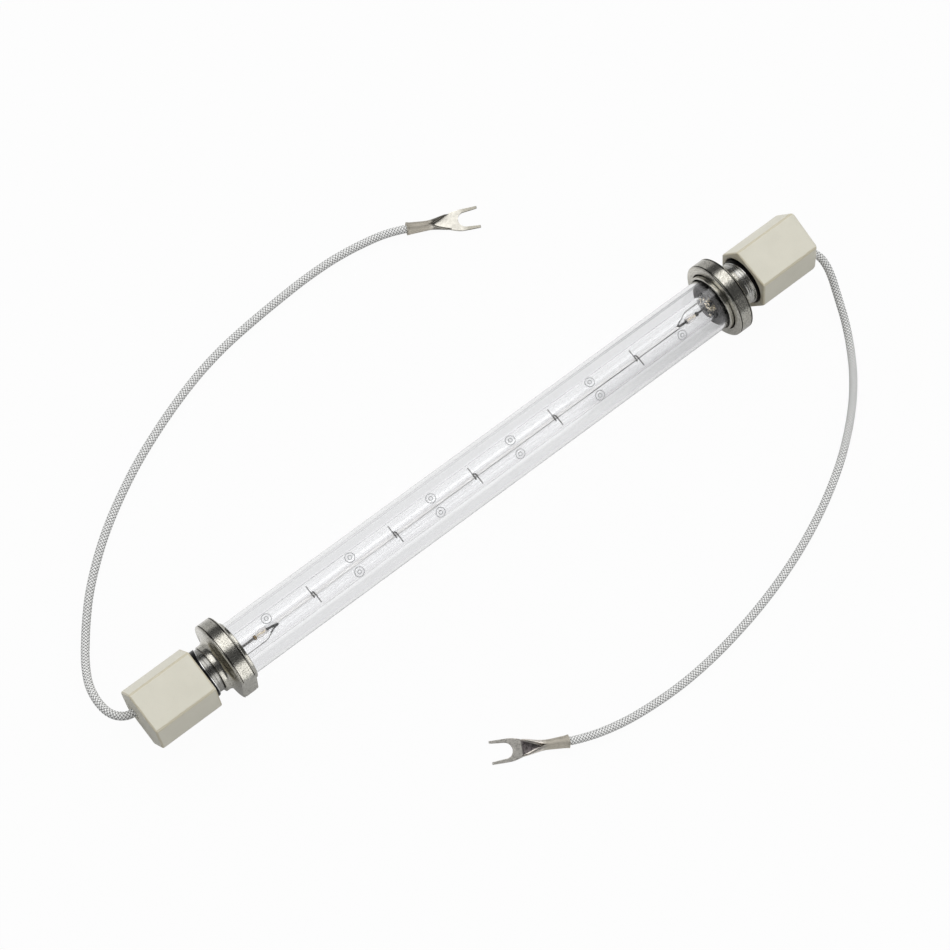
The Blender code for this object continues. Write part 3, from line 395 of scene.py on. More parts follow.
MATERIALS = {
    "outer": glass("clear_glass", (0.935, 0.937, 0.942), 1.49, 0.01, grey_streak=True),
    "inner": glass("quartz_glass", (0.985, 0.985, 0.988), 1.46, 0.02),
    "bead_glass": glass("bead_glass", (0.97, 0.94, 0.91), 1.40, 0.2),
    "nickel": nickel("satin_nickel", (0.53, 0.515, 0.465), 0.23, 0.90, 0.20, 0.035, flange=True),
    # The left neck's steel is a darker copy of the right one's: painted shade between cap and block
    "left_neck": nickel("left_polished_steel_painted_shade", (0.36, 0.355, 0.335), 0.26, 0.60, 0.55, 0.03),
    "right_neck": nickel("right_polished_steel", (0.62, 0.615, 0.59), 0.25, 0.70, 0.80, 0.04),
    "dark_metal": dull_metal("dark_metal", (0.035, 0.033, 0.032), 0.30, 0.7, 0.75),
    "wound": dull_metal("wound_wire", (0.014, 0.012, 0.011), 0.45, 2.5, 0.6),
    # Black for the ring where neck and block part: painted shade, not a dark part
    "gap": dull_metal("painted_gap_shade", (0.014, 0.014, 0.015), 0.38, 1.1, 0.8),
    "lip": nickel("bright_lip", (0.74, 0.74, 0.72), 0.25, 0.50, 0.40, 0.02),
    "ceramic": ceramic_block_material(),
    "bush": plain_ceramic(),
    "tungsten": filament_metal(),
    "support": dull_metal("support_wire", (0.05, 0.047, 0.045), 0.40, 2.5, 0.50),
    "lead": dull_metal("lead_wire", (0.075, 0.07, 0.065), 0.35, 2.0, 0.60),
    "copper": dull_metal("copper_core", (0.74, 0.68, 0.52), 0.35, 2.0, 0.30),
    "foil": dull_metal("crumpled_foil", (0.80, 0.70, 0.50), 0.14, 1.6, 0.95),
    "left_brown": dull_metal("left_brown_bead", (0.17, 0.10, 0.03), 0.35, 2.5, 0.90),
    "right_brown": dull_metal("right_brown_bead", (0.02, 0.016, 0.012), 0.35, 2.5, 0.90),
    "braid": braid_material(),
    "tin": tin("tinned_copper", (0.72, 0.68, 0.61), 0.28, 0.04),
    "left_fork": tin("left_fork_tin", (0.84, 0.81, 0.73), 0.15, 0.03, FORK_PLACES["left"], (0.05, 0.75),
                     walls=(0.80, (0.15, 0.14, 0.12)), tines=0.75),
    "right_fork": tin("right_fork_tin", (0.78, 0.75, 0.69), 0.60, 0.06, FORK_PLACES["right"], (0.0, -0.42),
                      trough=0.92, walls=(0.75, (0.96, 0.90, 0.83))),
    "mark": mark_material(),
}


# Mesh helpers
def joined(verts, faces, merge=1e-7):
    """A bmesh from corners in millimetres, with doubles merged."""
    work = bmesh.new()
    corners = [work.verts.new(Vector(v) * MM) for v in verts]
    for face in faces:
        work.faces.new([corners[i] for i in face])
    bmesh.ops.remove_doubles(work, verts=work.verts, dist=merge)
    return work


def placed(name, data):
    """An object in the scene from a mesh, a light or a bmesh, which is used up."""
    if isinstance(data, bmesh.types.BMesh):
        work, data = data, bpy.data.meshes.new(name)
        work.to_mesh(data)
        work.free()
    made = bpy.data.objects.new(name, data)
    bpy.context.scene.collection.objects.link(made)
    return made


def coat(piece, material):
    piece.data.materials.clear()
    piece.data.materials.append(MATERIALS[material])


def make_piece(name, verts, faces, material, slot, nodes=(), sharp=32.0, weighted=False):
    """A piece of the lamp from corners in millimetres, shaded smooth up to the sharp angle."""
    work = joined(verts, faces)
    bmesh.ops.recalc_face_normals(work, faces=work.faces)
    piece = placed(name, work)
    dress(piece, material, nodes, sharp, weighted)
    return piece


def dress(piece, material, nodes, sharp, weighted=False):
    mesh = piece.data
    coat(piece, material)
    mesh.shade_smooth()
    mesh.set_sharp_from_angle(angle=math.radians(sharp))
    if weighted:
        weigh_normals(piece)
    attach(piece, "root")
    if nodes:
        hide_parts(*nodes)


def weigh_normals(piece):
    modify(piece, "WEIGHTED_NORMAL", keep_sharp=True)
    apply_modifiers(piece)


def modify(piece, kind, **settings):
    made = piece.modifiers.new(kind.lower(), kind)
    for key, value in settings.items():
        setattr(made, key, value)


def apply_modifiers(piece):
    graph = bpy.context.evaluated_depsgraph_get()
    final = bpy.data.meshes.new_from_object(piece.evaluated_get(graph), depsgraph=graph)
    piece.modifiers.clear()
    piece.data = final


def rounded(points, steps=3):
    """Closed profile of (radius, along) corners, where a third number is a fillet, drawn as an arc."""
    out = []
    count = len(points)
    for i, (r, x, *fillets) in enumerate(points):
        if not fillets:
            out.append((r, x))
            continue
        fillet = fillets[0]
        corner = Vector((r, x))
        to_a = (Vector(points[i - 1][:2]) - corner).normalized()
        to_b = (Vector(points[(i + 1) % count][:2]) - corner).normalized()
        half = to_a.angle(to_b) / 2
        centre = corner + (to_a + to_b).normalized() * (fillet / math.sin(half))
        start = corner + to_a * (fillet / math.tan(half)) - centre
        end = corner + to_b * (fillet / math.tan(half)) - centre
        turn = math.atan2(start.x * end.y - start.y * end.x, start.dot(end))
        for k in range(steps + 1):
            angle = turn * k / steps
            c, s = math.cos(angle), math.sin(angle)
            out.append((centre.x + start.x * c - start.y * s, centre.y + start.x * s + start.y * c))
    return out


def lathe(profile, side=1, steps=160, offset=(0.0, 0.0)):
    """Corners and faces of a profile turned round the lamp's axis, on one end of the lamp."""
    verts = []
    for r, along in profile:
        for k in range(steps):
            a = 2 * math.pi * k / steps
            y = offset[0] + r * math.sin(a)
            verts.append((side * along, side * y, AXIS + offset[1] + r * math.cos(a)))
    return verts, skin(len(profile), steps)


def skin(rings, sides, closed=True):
    """Faces between rings of corners, and from the last ring to the first if closed."""
    faces = []
    for i in range(rings if closed else rings - 1):
        j = (i + 1) % rings
        for k in range(sides):
            m = (k + 1) % sides
            faces.append((i * sides + k, i * sides + m, j * sides + m, j * sides + k))
    return faces


def tube(path, radius, sides, closed=False):
    """Corners and faces of a round wire along a path."""
    points = [Vector(p) for p in path]
    count = len(points)
    tangents = []
    for i in range(count):
        before = points[i - 1] if closed or i else points[0]
        after = points[(i + 1) % count] if closed or i < count - 1 else points[-1]
        tangents.append((after - before).normalized())
    normal = tangents[0].orthogonal().normalized()
    verts = []
    for i, (point, tangent) in enumerate(zip(points, tangents)):
        if i:
            normal = tangents[i - 1].rotation_difference(tangent) @ normal
            normal = (normal - tangent * normal.dot(tangent)).normalized()
        other = tangent.cross(normal)
        for k in range(sides):
            a = 2 * math.pi * k / sides
            verts.append(point + (normal * math.cos(a) + other * math.sin(a)) * radius)
    faces = skin(count, sides, closed)
    if not closed:
        faces.append(tuple(range(sides)))
        faces.append(tuple((count - 1) * sides + k for k in range(sides)))
    return verts, faces


def merged(*shapes):
    """Several sets of corners and faces as one."""
    verts, faces = [], []
    for some, more in shapes:
        faces += [tuple(i + len(verts) for i in face) for face in more]
        verts += list(some)
    return verts, faces


def smooth_route(points, samples):
    """Points along one smooth curve through the given points, as in the part."""
    knots = [Vector(p) for p in points]
    last = len(knots) - 1
    slopes = []
    for i, knot in enumerate(knots):
        before = knots[max(i - 1, 0)]
        after = knots[min(i + 1, last)]
        if i == 0:
            slopes.append((after - knot).normalized())
        elif i == last:
            slopes.append((knot - before).normalized())
        else:
            back = (knot - before).length
            ahead = (after - knot).length
            slope = (knot - before) * (ahead / back) + (after - knot) * (back / ahead)
            slopes.append(slope / (back + ahead))
    route = [knots[0]]
    for i in range(last):
        third = (knots[i + 1] - knots[i]).length / 3
        leave = knots[i] + slopes[i] * third
        arrive = knots[i + 1] - slopes[i + 1] * third
        route += interpolate_bezier(knots[i], leave, arrive, knots[i + 1], samples + 1)[1:]
    return route


def even_steps(route, step):
    """The same route with its points at even steps."""
    points = np.array([tuple(p) for p in route])
    runs = np.concatenate(([0.0], np.cumsum(np.linalg.norm(np.diff(points, axis=0), axis=1))))
    places = np.linspace(0.0, runs[-1], int(runs[-1] / step) + 1)
    return np.stack([np.interp(places, runs, points[:, i]) for i in range(3)], axis=1), runs[-1]


# Cables
BRAID_YARNS = 6
BRAID_PITCH = 6.9
BRAID_AROUND = 48
BRAID_STEP = 0.19


def cable_points(side):
    s = SIDES[side]
    inside = [(s * x, s * JOINT_SIDE, AXIS + JOINT_DROP) for x in (135.3, 142.85, 144.5)]
    x, y, heading = FORK_PLACES[side]
    ahead = Vector((math.cos(heading), math.sin(heading), 0.0))
    mouth = Vector((x, y, BARREL_D / 2))
    barrel = [mouth + ahead * d for d in (0.0, 3.6, 6.9)]
    return smooth_route(inside + list(CABLE_ROUTES[side]) + barrel, 24)


def make_cable(side):
    """Braided cable: yarns in two directions, over and under each other."""
    centres, length = even_steps(cable_points(side), BRAID_STEP)
    count = len(centres)
    tangents = np.gradient(centres, axis=0)
    tangents /= np.linalg.norm(tangents, axis=1)[:, None]
    normals = np.zeros_like(centres)
    normal = np.array((0.0, 0.0, 1.0))
    for i in range(count):
        normal = normal - tangents[i] * normal.dot(tangents[i])
        normal /= np.linalg.norm(normal)
        normals[i] = normal
    others = np.cross(tangents, normals)
    turn = np.arange(BRAID_AROUND) / BRAID_AROUND
    run = np.arange(count) * length / (count - 1)
    u = BRAID_YARNS * turn[None, :] + np.zeros((count, 1))
    v = run[:, None] * BRAID_YARNS / BRAID_PITCH + np.zeros((1, BRAID_AROUND))
    one, two = u + v, u - v
    lift = np.sin(math.pi * one) * np.sin(math.pi * two)
    crown_one = 1.0 - np.abs(2.0 * (one % 1.0) - 1.0) ** 2.6
    crown_two = 1.0 - np.abs(2.0 * (two % 1.0) - 1.0) ** 2.6
    height = np.maximum(crown_one * (0.62 + 0.38 * lift), crown_two * (0.62 - 0.38 * lift))
    radius = CABLE_D / 2 * (0.855 + 0.13 * height)
    angle = 2 * math.pi * turn[None, :, None]
    ring = centres[:, None, :] + radius[:, :, None] * (
        normals[:, None, :] * np.cos(angle) + others[:, None, :] * np.sin(angle))
    verts = (ring.reshape(-1, 3) * MM).tolist()
    quads = skin(count, BRAID_AROUND, closed=False)
    ends = range(BRAID_AROUND)[::-1], range((count - 1) * BRAID_AROUND, count * BRAID_AROUND)
    faces = quads + [tuple(end) for end in ends]
    mesh = bpy.data.meshes.new(f"{side}_braided_cable")
    mesh.from_pydata(verts, [], faces)
    mesh.update()
    layer = mesh.uv_layers.new(name="braid")
    uv = np.zeros((len(mesh.loops), 2))
    ring_of = np.repeat(np.arange(count - 1), BRAID_AROUND)
    k_of = np.tile(np.arange(BRAID_AROUND), count - 1)
    low = ring_of * length / (count - 1) * BRAID_YARNS / BRAID_PITCH
    high = (ring_of + 1) * length / (count - 1) * BRAID_YARNS / BRAID_PITCH
    left = k_of * BRAID_YARNS / BRAID_AROUND
    right = (k_of + 1) * BRAID_YARNS / BRAID_AROUND
    sides = len(quads)
    uv[: sides * 4] = np.stack([left, low, right, low, right, high, left, high], axis=1).reshape(-1, 2)
    layer.data.foreach_set("uv", uv.ravel())
    piece = placed(f"{side}_braided_cable", mesh)
    dress(piece, "braid", [f"{side}_cable"], sharp=75.0)
    return piece, [tuple(p * MM) for p in centres]


# Fork terminals
WAIST_AT, CREASE_AT, SLOT_AT, FORK_LENGTH = 8.2, 16.5, 19.5, 27.3
FORK_SHEET = 0.7
FORK_HALF_WIDTH, FORK_NECK_HALF = 4.05, 3.15
SLOT_R, SLOT_WIDENING = 2.75, 0.3
TINE_BENDS = {"left": (0.25, 0.80), "right": (-0.35, 0.1)}  # of the two tines, sideways at their tips
FORK_SWAY_AT = (0.0, 7.0, 11.0, 15.0, 18.0, FORK_LENGTH)
FORK_SWAYS = {"left": (0.0, 0.05, 0.40, 0.75, 0.65, 0.35), "right": (0.0, 0.0, -0.15, -0.40, -0.42, -0.20)}
FOLD_ALONGS = (0.0, 0.25, 0.5, 0.9, 1.4, 2.2, 3.0, 4.2, 5.5, 6.6, 7.6, 8.4, 9.0, 9.7, 10.4, 11.1, 11.8, 12.5, 13.2,
               13.9, 14.6, 15.2, 15.8, 16.2)
FORK_ACROSS = 24


def fork_section(along):
    """The sheet's middle line across the fork: half width, height, squareness, and how far open its top is."""
    stops = (0.0, 0.5, 1.4, 3.0, 5.5, 7.2, WAIST_AT, 10.0, 11.8, 13.5, 15.0, CREASE_AT)
    widths = (4.85, 4.62, 4.35, 4.15, 3.80, 3.60, 3.58, 3.92, 4.60, 5.35, 5.98, 6.30)
    heights = (4.85, 4.62, 4.45, 4.30, 4.15, 4.02, 3.80, 3.20, 2.45, 1.65, 1.02, 0.72)
    square = (*(2.0,) * 7, 2.2, 2.4, 2.6, 2.8, 3.0)
    openings = (*(0.0,) * 7, 0.40, 0.68, 0.85, 0.95, 0.99)
    rows = (widths, heights, square, openings)
    width, height, power, opened = (float(np.interp(along, stops, row)) for row in rows)
    return (width - FORK_SHEET) / 2, height - FORK_SHEET, power, opened


def make_fork(side):
    x, y, heading = FORK_PLACES[side]

    def sway(along):
        return float(np.interp(along, FORK_SWAY_AT, FORK_SWAYS[side]))

    rows = []
    for along in FOLD_ALONGS:
        a, top, power, opened = fork_section(along)
        b = top / (1.0 + math.sqrt(1.0 - opened ** power) ** (2 / power))
        sweep = math.pi - math.asin(opened ** (power / 2))
        row = []
        for j in range(FORK_ACROSS + 1):
            t = sweep * (2.0 * j / FORK_ACROSS - 1.0)
            s, c = math.sin(t), math.cos(t)
            across = a * math.copysign(abs(s) ** (2 / power), s)
            up = b * (1.0 - math.copysign(abs(c) ** (2 / power), c))
            row.append((along, sway(along) + (0.0 if abs(across) < 1e-6 else across), up))
        rows.append(row)
    flat = [CREASE_AT, 17.0, 17.5, 18.1, 18.8, SLOT_AT]
    flat += [SLOT_AT + SLOT_R * (1 - math.cos(math.pi / 2 * i / 9)) for i in range(1, 10)]
    flat += [23.2, 24.2, 25.2, 26.2, 26.9, FORK_LENGTH]
    half_count = FORK_ACROSS // 2
    for along in flat:
        share = min(1.0, (along - CREASE_AT) / (SLOT_AT + SLOT_R / 2 - CREASE_AT))
        outer = FORK_NECK_HALF + (FORK_HALF_WIDTH - FORK_NECK_HALF) * math.sin(share * math.pi / 2)
        if along <= SLOT_AT:
            inner = 0.0
        elif along < SLOT_AT + SLOT_R:
            inner = math.sqrt(max(0.0, SLOT_R ** 2 - (SLOT_AT + SLOT_R - along) ** 2))
        else:
            inner = SLOT_R + SLOT_WIDENING * (along - SLOT_AT - SLOT_R) / (FORK_LENGTH - SLOT_AT - SLOT_R)
        tip = max(0.0, (along - 22.0) / (FORK_LENGTH - 22.0))
        outer -= 0.16 * tip
        bend = max(0.0, (along - SLOT_AT) / (FORK_LENGTH - SLOT_AT)) ** 1.3
        low, high = (bend * b for b in TINE_BENDS[side])
        row = []
        for j in range(FORK_ACROSS + 2):
            if j <= half_count:
                across = low - outer + (outer - inner) * j / half_count
            else:
                across = high + inner + (outer - inner) * (j - half_count - 1) / half_count
            row.append((along, sway(along) + across, 0.0))
        rows.append(row)
    verts, faces = [], []
    starts = []
    for row in rows:
        starts.append(len(verts))
        if len(row) == FORK_ACROSS + 1:
            row = row[: half_count + 1] + row[half_count:]
        verts += row
    for i in range(len(rows) - 1):
        p, q = starts[i], starts[i + 1]
        for j in range(FORK_ACROSS + 1):
            if j == half_count:
                continue
            faces.append((p + j, p + j + 1, q + j + 1, q + j))
    piece = placed(f"{side}_fork", joined(verts, faces, 1e-6))
    modify(piece, "SOLIDIFY", thickness=FORK_SHEET * MM, offset=0.0)
    modify(piece, "BEVEL", width=0.12 * MM, segments=2, limit_method="ANGLE", angle_limit=math.radians(50))
    apply_modifiers(piece)
    lift = Matrix.Translation((x * MM, y * MM, FORK_SHEET / 2 * MM)) @ Matrix.Rotation(heading, 4, "Z")
    piece.data.transform(lift)
    dress(piece, f"{side}_fork", [f"{side}_fork_terminal"], sharp=40.0, weighted=True)
    return piece


# Glass tubes, filament and supports
def make_tubes():
    for name, outer, bore, end, material, slot, node in (
        ("outer_glass_tube", TUBE_R, TUBE_BORE_R, TUBE_END, "outer", "clear_glass", "outer_tube"),
        ("inner_glass_tube", INNER_R, INNER_BORE_R, INNER_END, "inner", "quartz_glass", "inner_tube"),
    ):
        places = [-end, -end * 0.5, 0.0, end * 0.5, end]
        profile = [(outer, -end + 0.25), *[(outer, p) for p in places[1:-1]], (outer, end - 0.25), (outer - 0.25, end)]
        profile += [(bore + 0.25, end), (bore, end - 0.25), *[(bore, p) for p in places[-2:0:-1]]]
        profile += [(bore, -end + 0.25), (bore + 0.25, -end), (outer - 0.25, -end)]
        piece = make_piece(name, *lathe(profile, steps=512), material, slot, [node], sharp=30.0)
        piece.visible_shadow = False


def make_filament():
    """Fine coil, wound nearly close."""
    pitch, wire_r, per_turn = 0.42, 0.20, 12
    turns = int(2 * FILAMENT_END / pitch)
    coil_r = FILAMENT_R - wire_r
    path = []
    for i in range(turns * per_turn + 1):
        a = 2 * math.pi * i / per_turn
        x = -FILAMENT_END + 2 * FILAMENT_END * i / (turns * per_turn)
        path.append((x, coil_r * math.sin(a), AXIS + coil_r * math.cos(a)))
    make_piece("coiled_filament", *tube(path, wire_r, 6), "tungsten", "tungsten", ["filament"], sharp=80.0)


def make_supports():
    loop_r = FILAMENT_R + 0.15 + SUPPORT_R
    wall_r = INNER_BORE_R - 0.15 - SUPPORT_R
    reach = math.sqrt(wall_r ** 2 - loop_r ** 2)
    top = AXIS + loop_r
    for number, place in enumerate(SUPPORT_PLACES):
        start, end = place - SUPPORT_STEP / 2, place + SUPPORT_STEP / 2
        route = [(start, reach, top), (start, reach * 0.5, top)]
        for i in range(25):
            share = i / 24
            a = 2 * math.pi * share
            route.append((start + SUPPORT_STEP * share, -loop_r * math.sin(a), AXIS + loop_r * math.cos(a)))
        route += [(end, -reach * 0.5, top), (end, -reach, top)]
        make_piece(f"filament_support_{number + 1}", *tube(route, SUPPORT_R, 10), "support", "support_wire",
                   [f"support_{number + 1}"], sharp=60.0)


# Ends of the lamp
def cove(steps=10):
    rim_r = FLANGE_R - 1.0
    points = []
    for i in range(steps + 1):
        a = math.pi / 2 * i / steps
        points.append((rim_r - (rim_r - HUB_R) * math.sin(a), HUB_START - (HUB_START - FLANGE_BACK) * math.cos(a)))
    return points


def end_piece(side, name, shape, material, slot, node=None, sharp=60.0, weighted=False):
    nodes = [f"{side}_{node}"] if node else []
    return make_piece(f"{side}_{name}", *shape, material, slot, nodes, sharp, weighted)


def make_cap(side):
    s = SIDES[side]
    front, back, rim = FLANGE_FRONT, FLANGE_BACK, FLANGE_R
    low = rim - GROOVE_DEPTH
    corners = [
        (CAP_BORE_R, TUBE_SEAT), (CAP_BORE_R, front, 0.15), (rim - 0.45, front, 0.12), (rim - 0.02, front + 0.38, 0.1),
        (rim - 0.02, front + 0.46), (low, front + 0.52), (low, front + 0.82), (rim, front + 0.88),
        (rim, back - 0.88), (low, back - 0.82), (low, back - 0.52), (rim, back - 0.46),
        (rim, back - 0.34, 0.1), (rim - 0.40, back, 0.1), (rim - 0.75, back), (rim - 0.85, back + 0.08),
        *cove()[1:], (HUB_R, HUB_END, 0.15), (SPIGOT_HOLE_R, HUB_END), (SPIGOT_HOLE_R, TUBE_SEAT),
    ]
    shape = lathe(rounded(corners), s, 192)
    piece = end_piece(side, "cap", shape, "nickel", "satin_nickel", "end_cap", 26.0)
    if side == "left":
        work = bmesh.new()
        work.from_mesh(piece.data)
        normal = Vector(KEY_FLAT_NORMAL)
        spot = Vector((0.0, 0.0, AXIS * MM)) + normal * KEY_FLAT_DISTANCE * MM
        result = bmesh.ops.bisect_plane(work, geom=work.verts[:] + work.edges[:] + work.faces[:], dist=1e-7,
                                        plane_co=spot, plane_no=normal, clear_outer=True)
        rim = [e for e in result["geom_cut"] if isinstance(e, bmesh.types.BMEdge) and e.is_boundary]
        bmesh.ops.contextual_create(work, geom=rim)
        bmesh.ops.recalc_face_normals(work, faces=work.faces)
        work.to_mesh(piece.data)
        work.free()
        piece.data.set_sharp_from_angle(angle=math.radians(26.0))
    weigh_normals(piece)


NECK_SEEN = {"left": (8.25, -0.3), "right": (8.3, 0.0)}
NECK_RINGS = {"left": ((118.2, 0.04),), "right": ((119.0, 0.12), (118.5, 0.06), (118.0, 0.10), (117.5, 0.05))}
LIP_START, LIP_END, LIP_RISE, GAP_R = 119.55, 119.82, 0.42, 8.85
GAP_SWELL = {"left": (0.55, 1.9), "right": (-0.2, 1.1)}  # reach of the black shade ring and the lip on the near and the far side


def make_end(side):
    s = SIDES[side]
    make_cap(side)
    collar = rounded([(COLLAR_R, TUBE_END), (COLLAR_R, COLLAR_FRONT, 0.25), (COLLAR_BORE_R, COLLAR_FRONT, 0.12),
                      (COLLAR_BORE_R, TUBE_END)], 4)
    end_piece(side, "collar", lathe(collar, s, 160), "nickel", "satin_nickel", "glass_collar", 30.0, True)
    front = PLUG_FACE[side]
    plug = rounded([(PLUG_R, TUBE_END), (PLUG_R, front, 0.4), (PLUG_HOLE_R, front, 0.2),
                    (PLUG_HOLE_R, front + 1.2, 0.1), (PLUG_SKIRT_R, front + 1.2), (PLUG_SKIRT_R, TUBE_END)])
    end_piece(side, "plug", lathe(plug, s, 128), "dark_metal", "dark_metal", "centring_plug", 30.0, True)
    outer, shift = NECK_SEEN[side]
    neck = [(outer - 0.6, NECK_END), (outer - 0.6, LIP_START - 0.28), (outer, LIP_START - 0.34, 0.08)]
    for at, depth in NECK_RINGS[side]:
        neck += [(outer, at + 0.14), (outer - depth, at + 0.05), (outer - depth, at - 0.05), (outer, at - 0.14)]
    neck += [(outer, NECK_START, 0.12), (SPIGOT_R, NECK_START), (SPIGOT_R, TUBE_SEAT, 0.1),
             (NECK_BORE_R, TUBE_SEAT, 0.1), (NECK_BORE_R, NECK_END)]
    end_piece(side, "neck", lathe(rounded(neck), s, 160, (shift, 0.0)), f"{side}_neck", "polished_steel",
              "neck_sleeve", 20.0, True)
    # A thin bright lip and a black ring of painted shade behind it, where neck and block part, swell towards the cap
    # at the sides
    inner, crest, deep = outer - 0.7, outer + LIP_RISE, BLOCK_FRONT + 1.6
    lip = [(crest, LIP_END), (crest, LIP_START), (inner, LIP_START), (inner, LIP_END)]
    gap = [(GAP_R, deep), (GAP_R, LIP_END + 0.1), (GAP_R - 0.2, LIP_END), (inner, LIP_END), (inner, deep)]
    for name, profile, material, slot in (("lip", lip, "lip", "polished_steel"),
                                          ("gap_shade_ring", gap, "gap", "dark_metal")):
        verts, faces = lathe(profile, s, 128, (shift / 2, 0.0))
        swollen = []
        for x, y, z in verts:
            sideways = min(1.0, abs(y) / GAP_R) ** 2
            ahead = GAP_SWELL[side][1 if y > 0 else 0] * sideways if abs(x) < LIP_END + 0.2 else 0.0
            swollen.append((x - s * ahead, y, z))
        end_piece(side, name, (swollen, faces), material, slot, sharp=30.0)
    ring = rounded([(9.3, 122.0, 0.04), (9.12, 122.0, 0.04), (9.12, 122.9), (9.3, 122.9)])
    end_piece(side, "mouth_lining", lathe(ring, s, 128), "lip", "polished_steel", "mouth_ring", 32.0)
    make_block(side)
    make_lead(side)


def make_block(side):
    """Hollow ceramic block with a six-sided section."""
    s = SIDES[side]
    top, wide, up = BLOCK_HALF_TOP, BLOCK_HALF_WIDTH, BLOCK_HALF_HEIGHT
    outline = [(top, up), (wide, 0.0), (top, -up), (-top, -up), (-wide, 0.0), (-top, up)]
    end, roundness, slant = BLOCK_BACK[side]
    verts = [(x + k * y, y, z) for x, k in ((BLOCK_FRONT, 0.0), (end, slant)) for y, z in outline]
    work = joined(verts, [range(6), range(6, 12), *skin(2, 6, closed=False)])
    bmesh.ops.recalc_face_normals(work, faces=work.faces)
    weights = work.edges.layers.float.new("bevel_weight_edge")
    for edge in work.edges:
        x = sum(v.co.x for v in edge.verts) / 2 / MM
        if x < BLOCK_FRONT + 1:
            edge[weights] = 0.3
        elif x > end - 1:
            edge[weights] = roundness
        else:
            edge[weights] = 0.45
    piece = placed(f"{side}_block", work)
    modify(piece, "BEVEL", width=2.0 * MM, segments=6, limit_method="WEIGHT")
    hollow = [
        (0.0, CAVITY_END), (CAVITY_R, CAVITY_END), (CAVITY_R, SEAT_END), (SEAT_R, SEAT_END),
        (SEAT_R, MOUTH_FLOOR), (MOUTH_R, MOUTH_FLOOR), (MOUTH_R, BLOCK_FRONT + 0.35),
        (MOUTH_R + 0.12, BLOCK_FRONT + 0.12), (MOUTH_R + 0.35, BLOCK_FRONT), (MOUTH_R + 0.6, BLOCK_FRONT - 0.5),
        (0.0, BLOCK_FRONT - 0.5),
    ]
    hole = [(0.0, 150.0), (4.2, 150.0), (3.0, end + 0.05), (2.45, end - 0.4), (2.05, end - 1.2),
            (CABLE_HOLE_R, end - 2.4), (CABLE_HOLE_R, CABLE_HOLE_START), (0.0, CABLE_HOLE_START)]
    cutters = []
    for name, profile, steps, offset in (("hollow", hollow, 128, (0.0, 0.0)),
                                         ("hole", hole, 48, (JOINT_SIDE, JOINT_DROP))):
        verts, faces = lathe(profile, 1, steps, offset)
        work = joined([Vector(v) - Vector((0, 0, AXIS)) for v in verts], faces)
        bmesh.ops.recalc_face_normals(work, faces=work.faces)
        cutters.append(placed(name, work))
        modify(piece, "BOOLEAN", operation="DIFFERENCE", solver="EXACT", object=cutters[-1])
    apply_modifiers(piece)
    for cutter in cutters:
        bpy.data.objects.remove(cutter)
    turn = Matrix.Rotation(0.0 if s > 0 else math.pi, 4, "Z")
    piece.data.transform(Matrix.Translation((0.0, 0.0, AXIS * MM)) @ turn)
    dress(piece, "ceramic", [f"{side}_ceramic_block"], sharp=24.0, weighted=True)


def turned(s, points):
    """Points of one end's own frame, in the lamp's: the left end is the right one turned by half."""
    return [(s * x, s * y, AXIS + z) for x, y, z in points]


def barrel_profile(radius, hole, start, end, steps=12, share=0.35):
    half = (end - start) / 2
    points = []
    for i in range(steps + 1):
        a = math.pi * i / steps
        bulge = share + (1 - share) * math.sin(a)
        points.append((hole + (radius - hole) * bulge, start + half + half * math.cos(a)))
    return points + [(hole, start), (hole, end)]


WOUND_START, WOUND_TIP, WOUND_ARM = 94.1, 89.3, 93.2
CRIMP_LEAN = {"left": 0.6, "right": -0.6}
FOIL_SEED, FOIL_REACH, FOIL_STRANDS, FOIL_TURNS = 11, 3.8, 34, 7


def wound(way, radius, pitch, per_turn=10):
    """A wire wound on a short, nearly straight way."""
    points, _ = even_steps(way, pitch / per_turn)
    points = [Vector(p) for p in points]
    ahead = (points[-1] - points[0]).normalized()
    across = ahead.cross(Vector((0.0, 0.0, 1.0))).normalized()
    up = across.cross(ahead)
    out = []
    for i, point in enumerate(points):
        a = 2 * math.pi * i / per_turn
        out.append(point + (across * math.cos(a) + up * math.sin(a)) * radius)
    return out


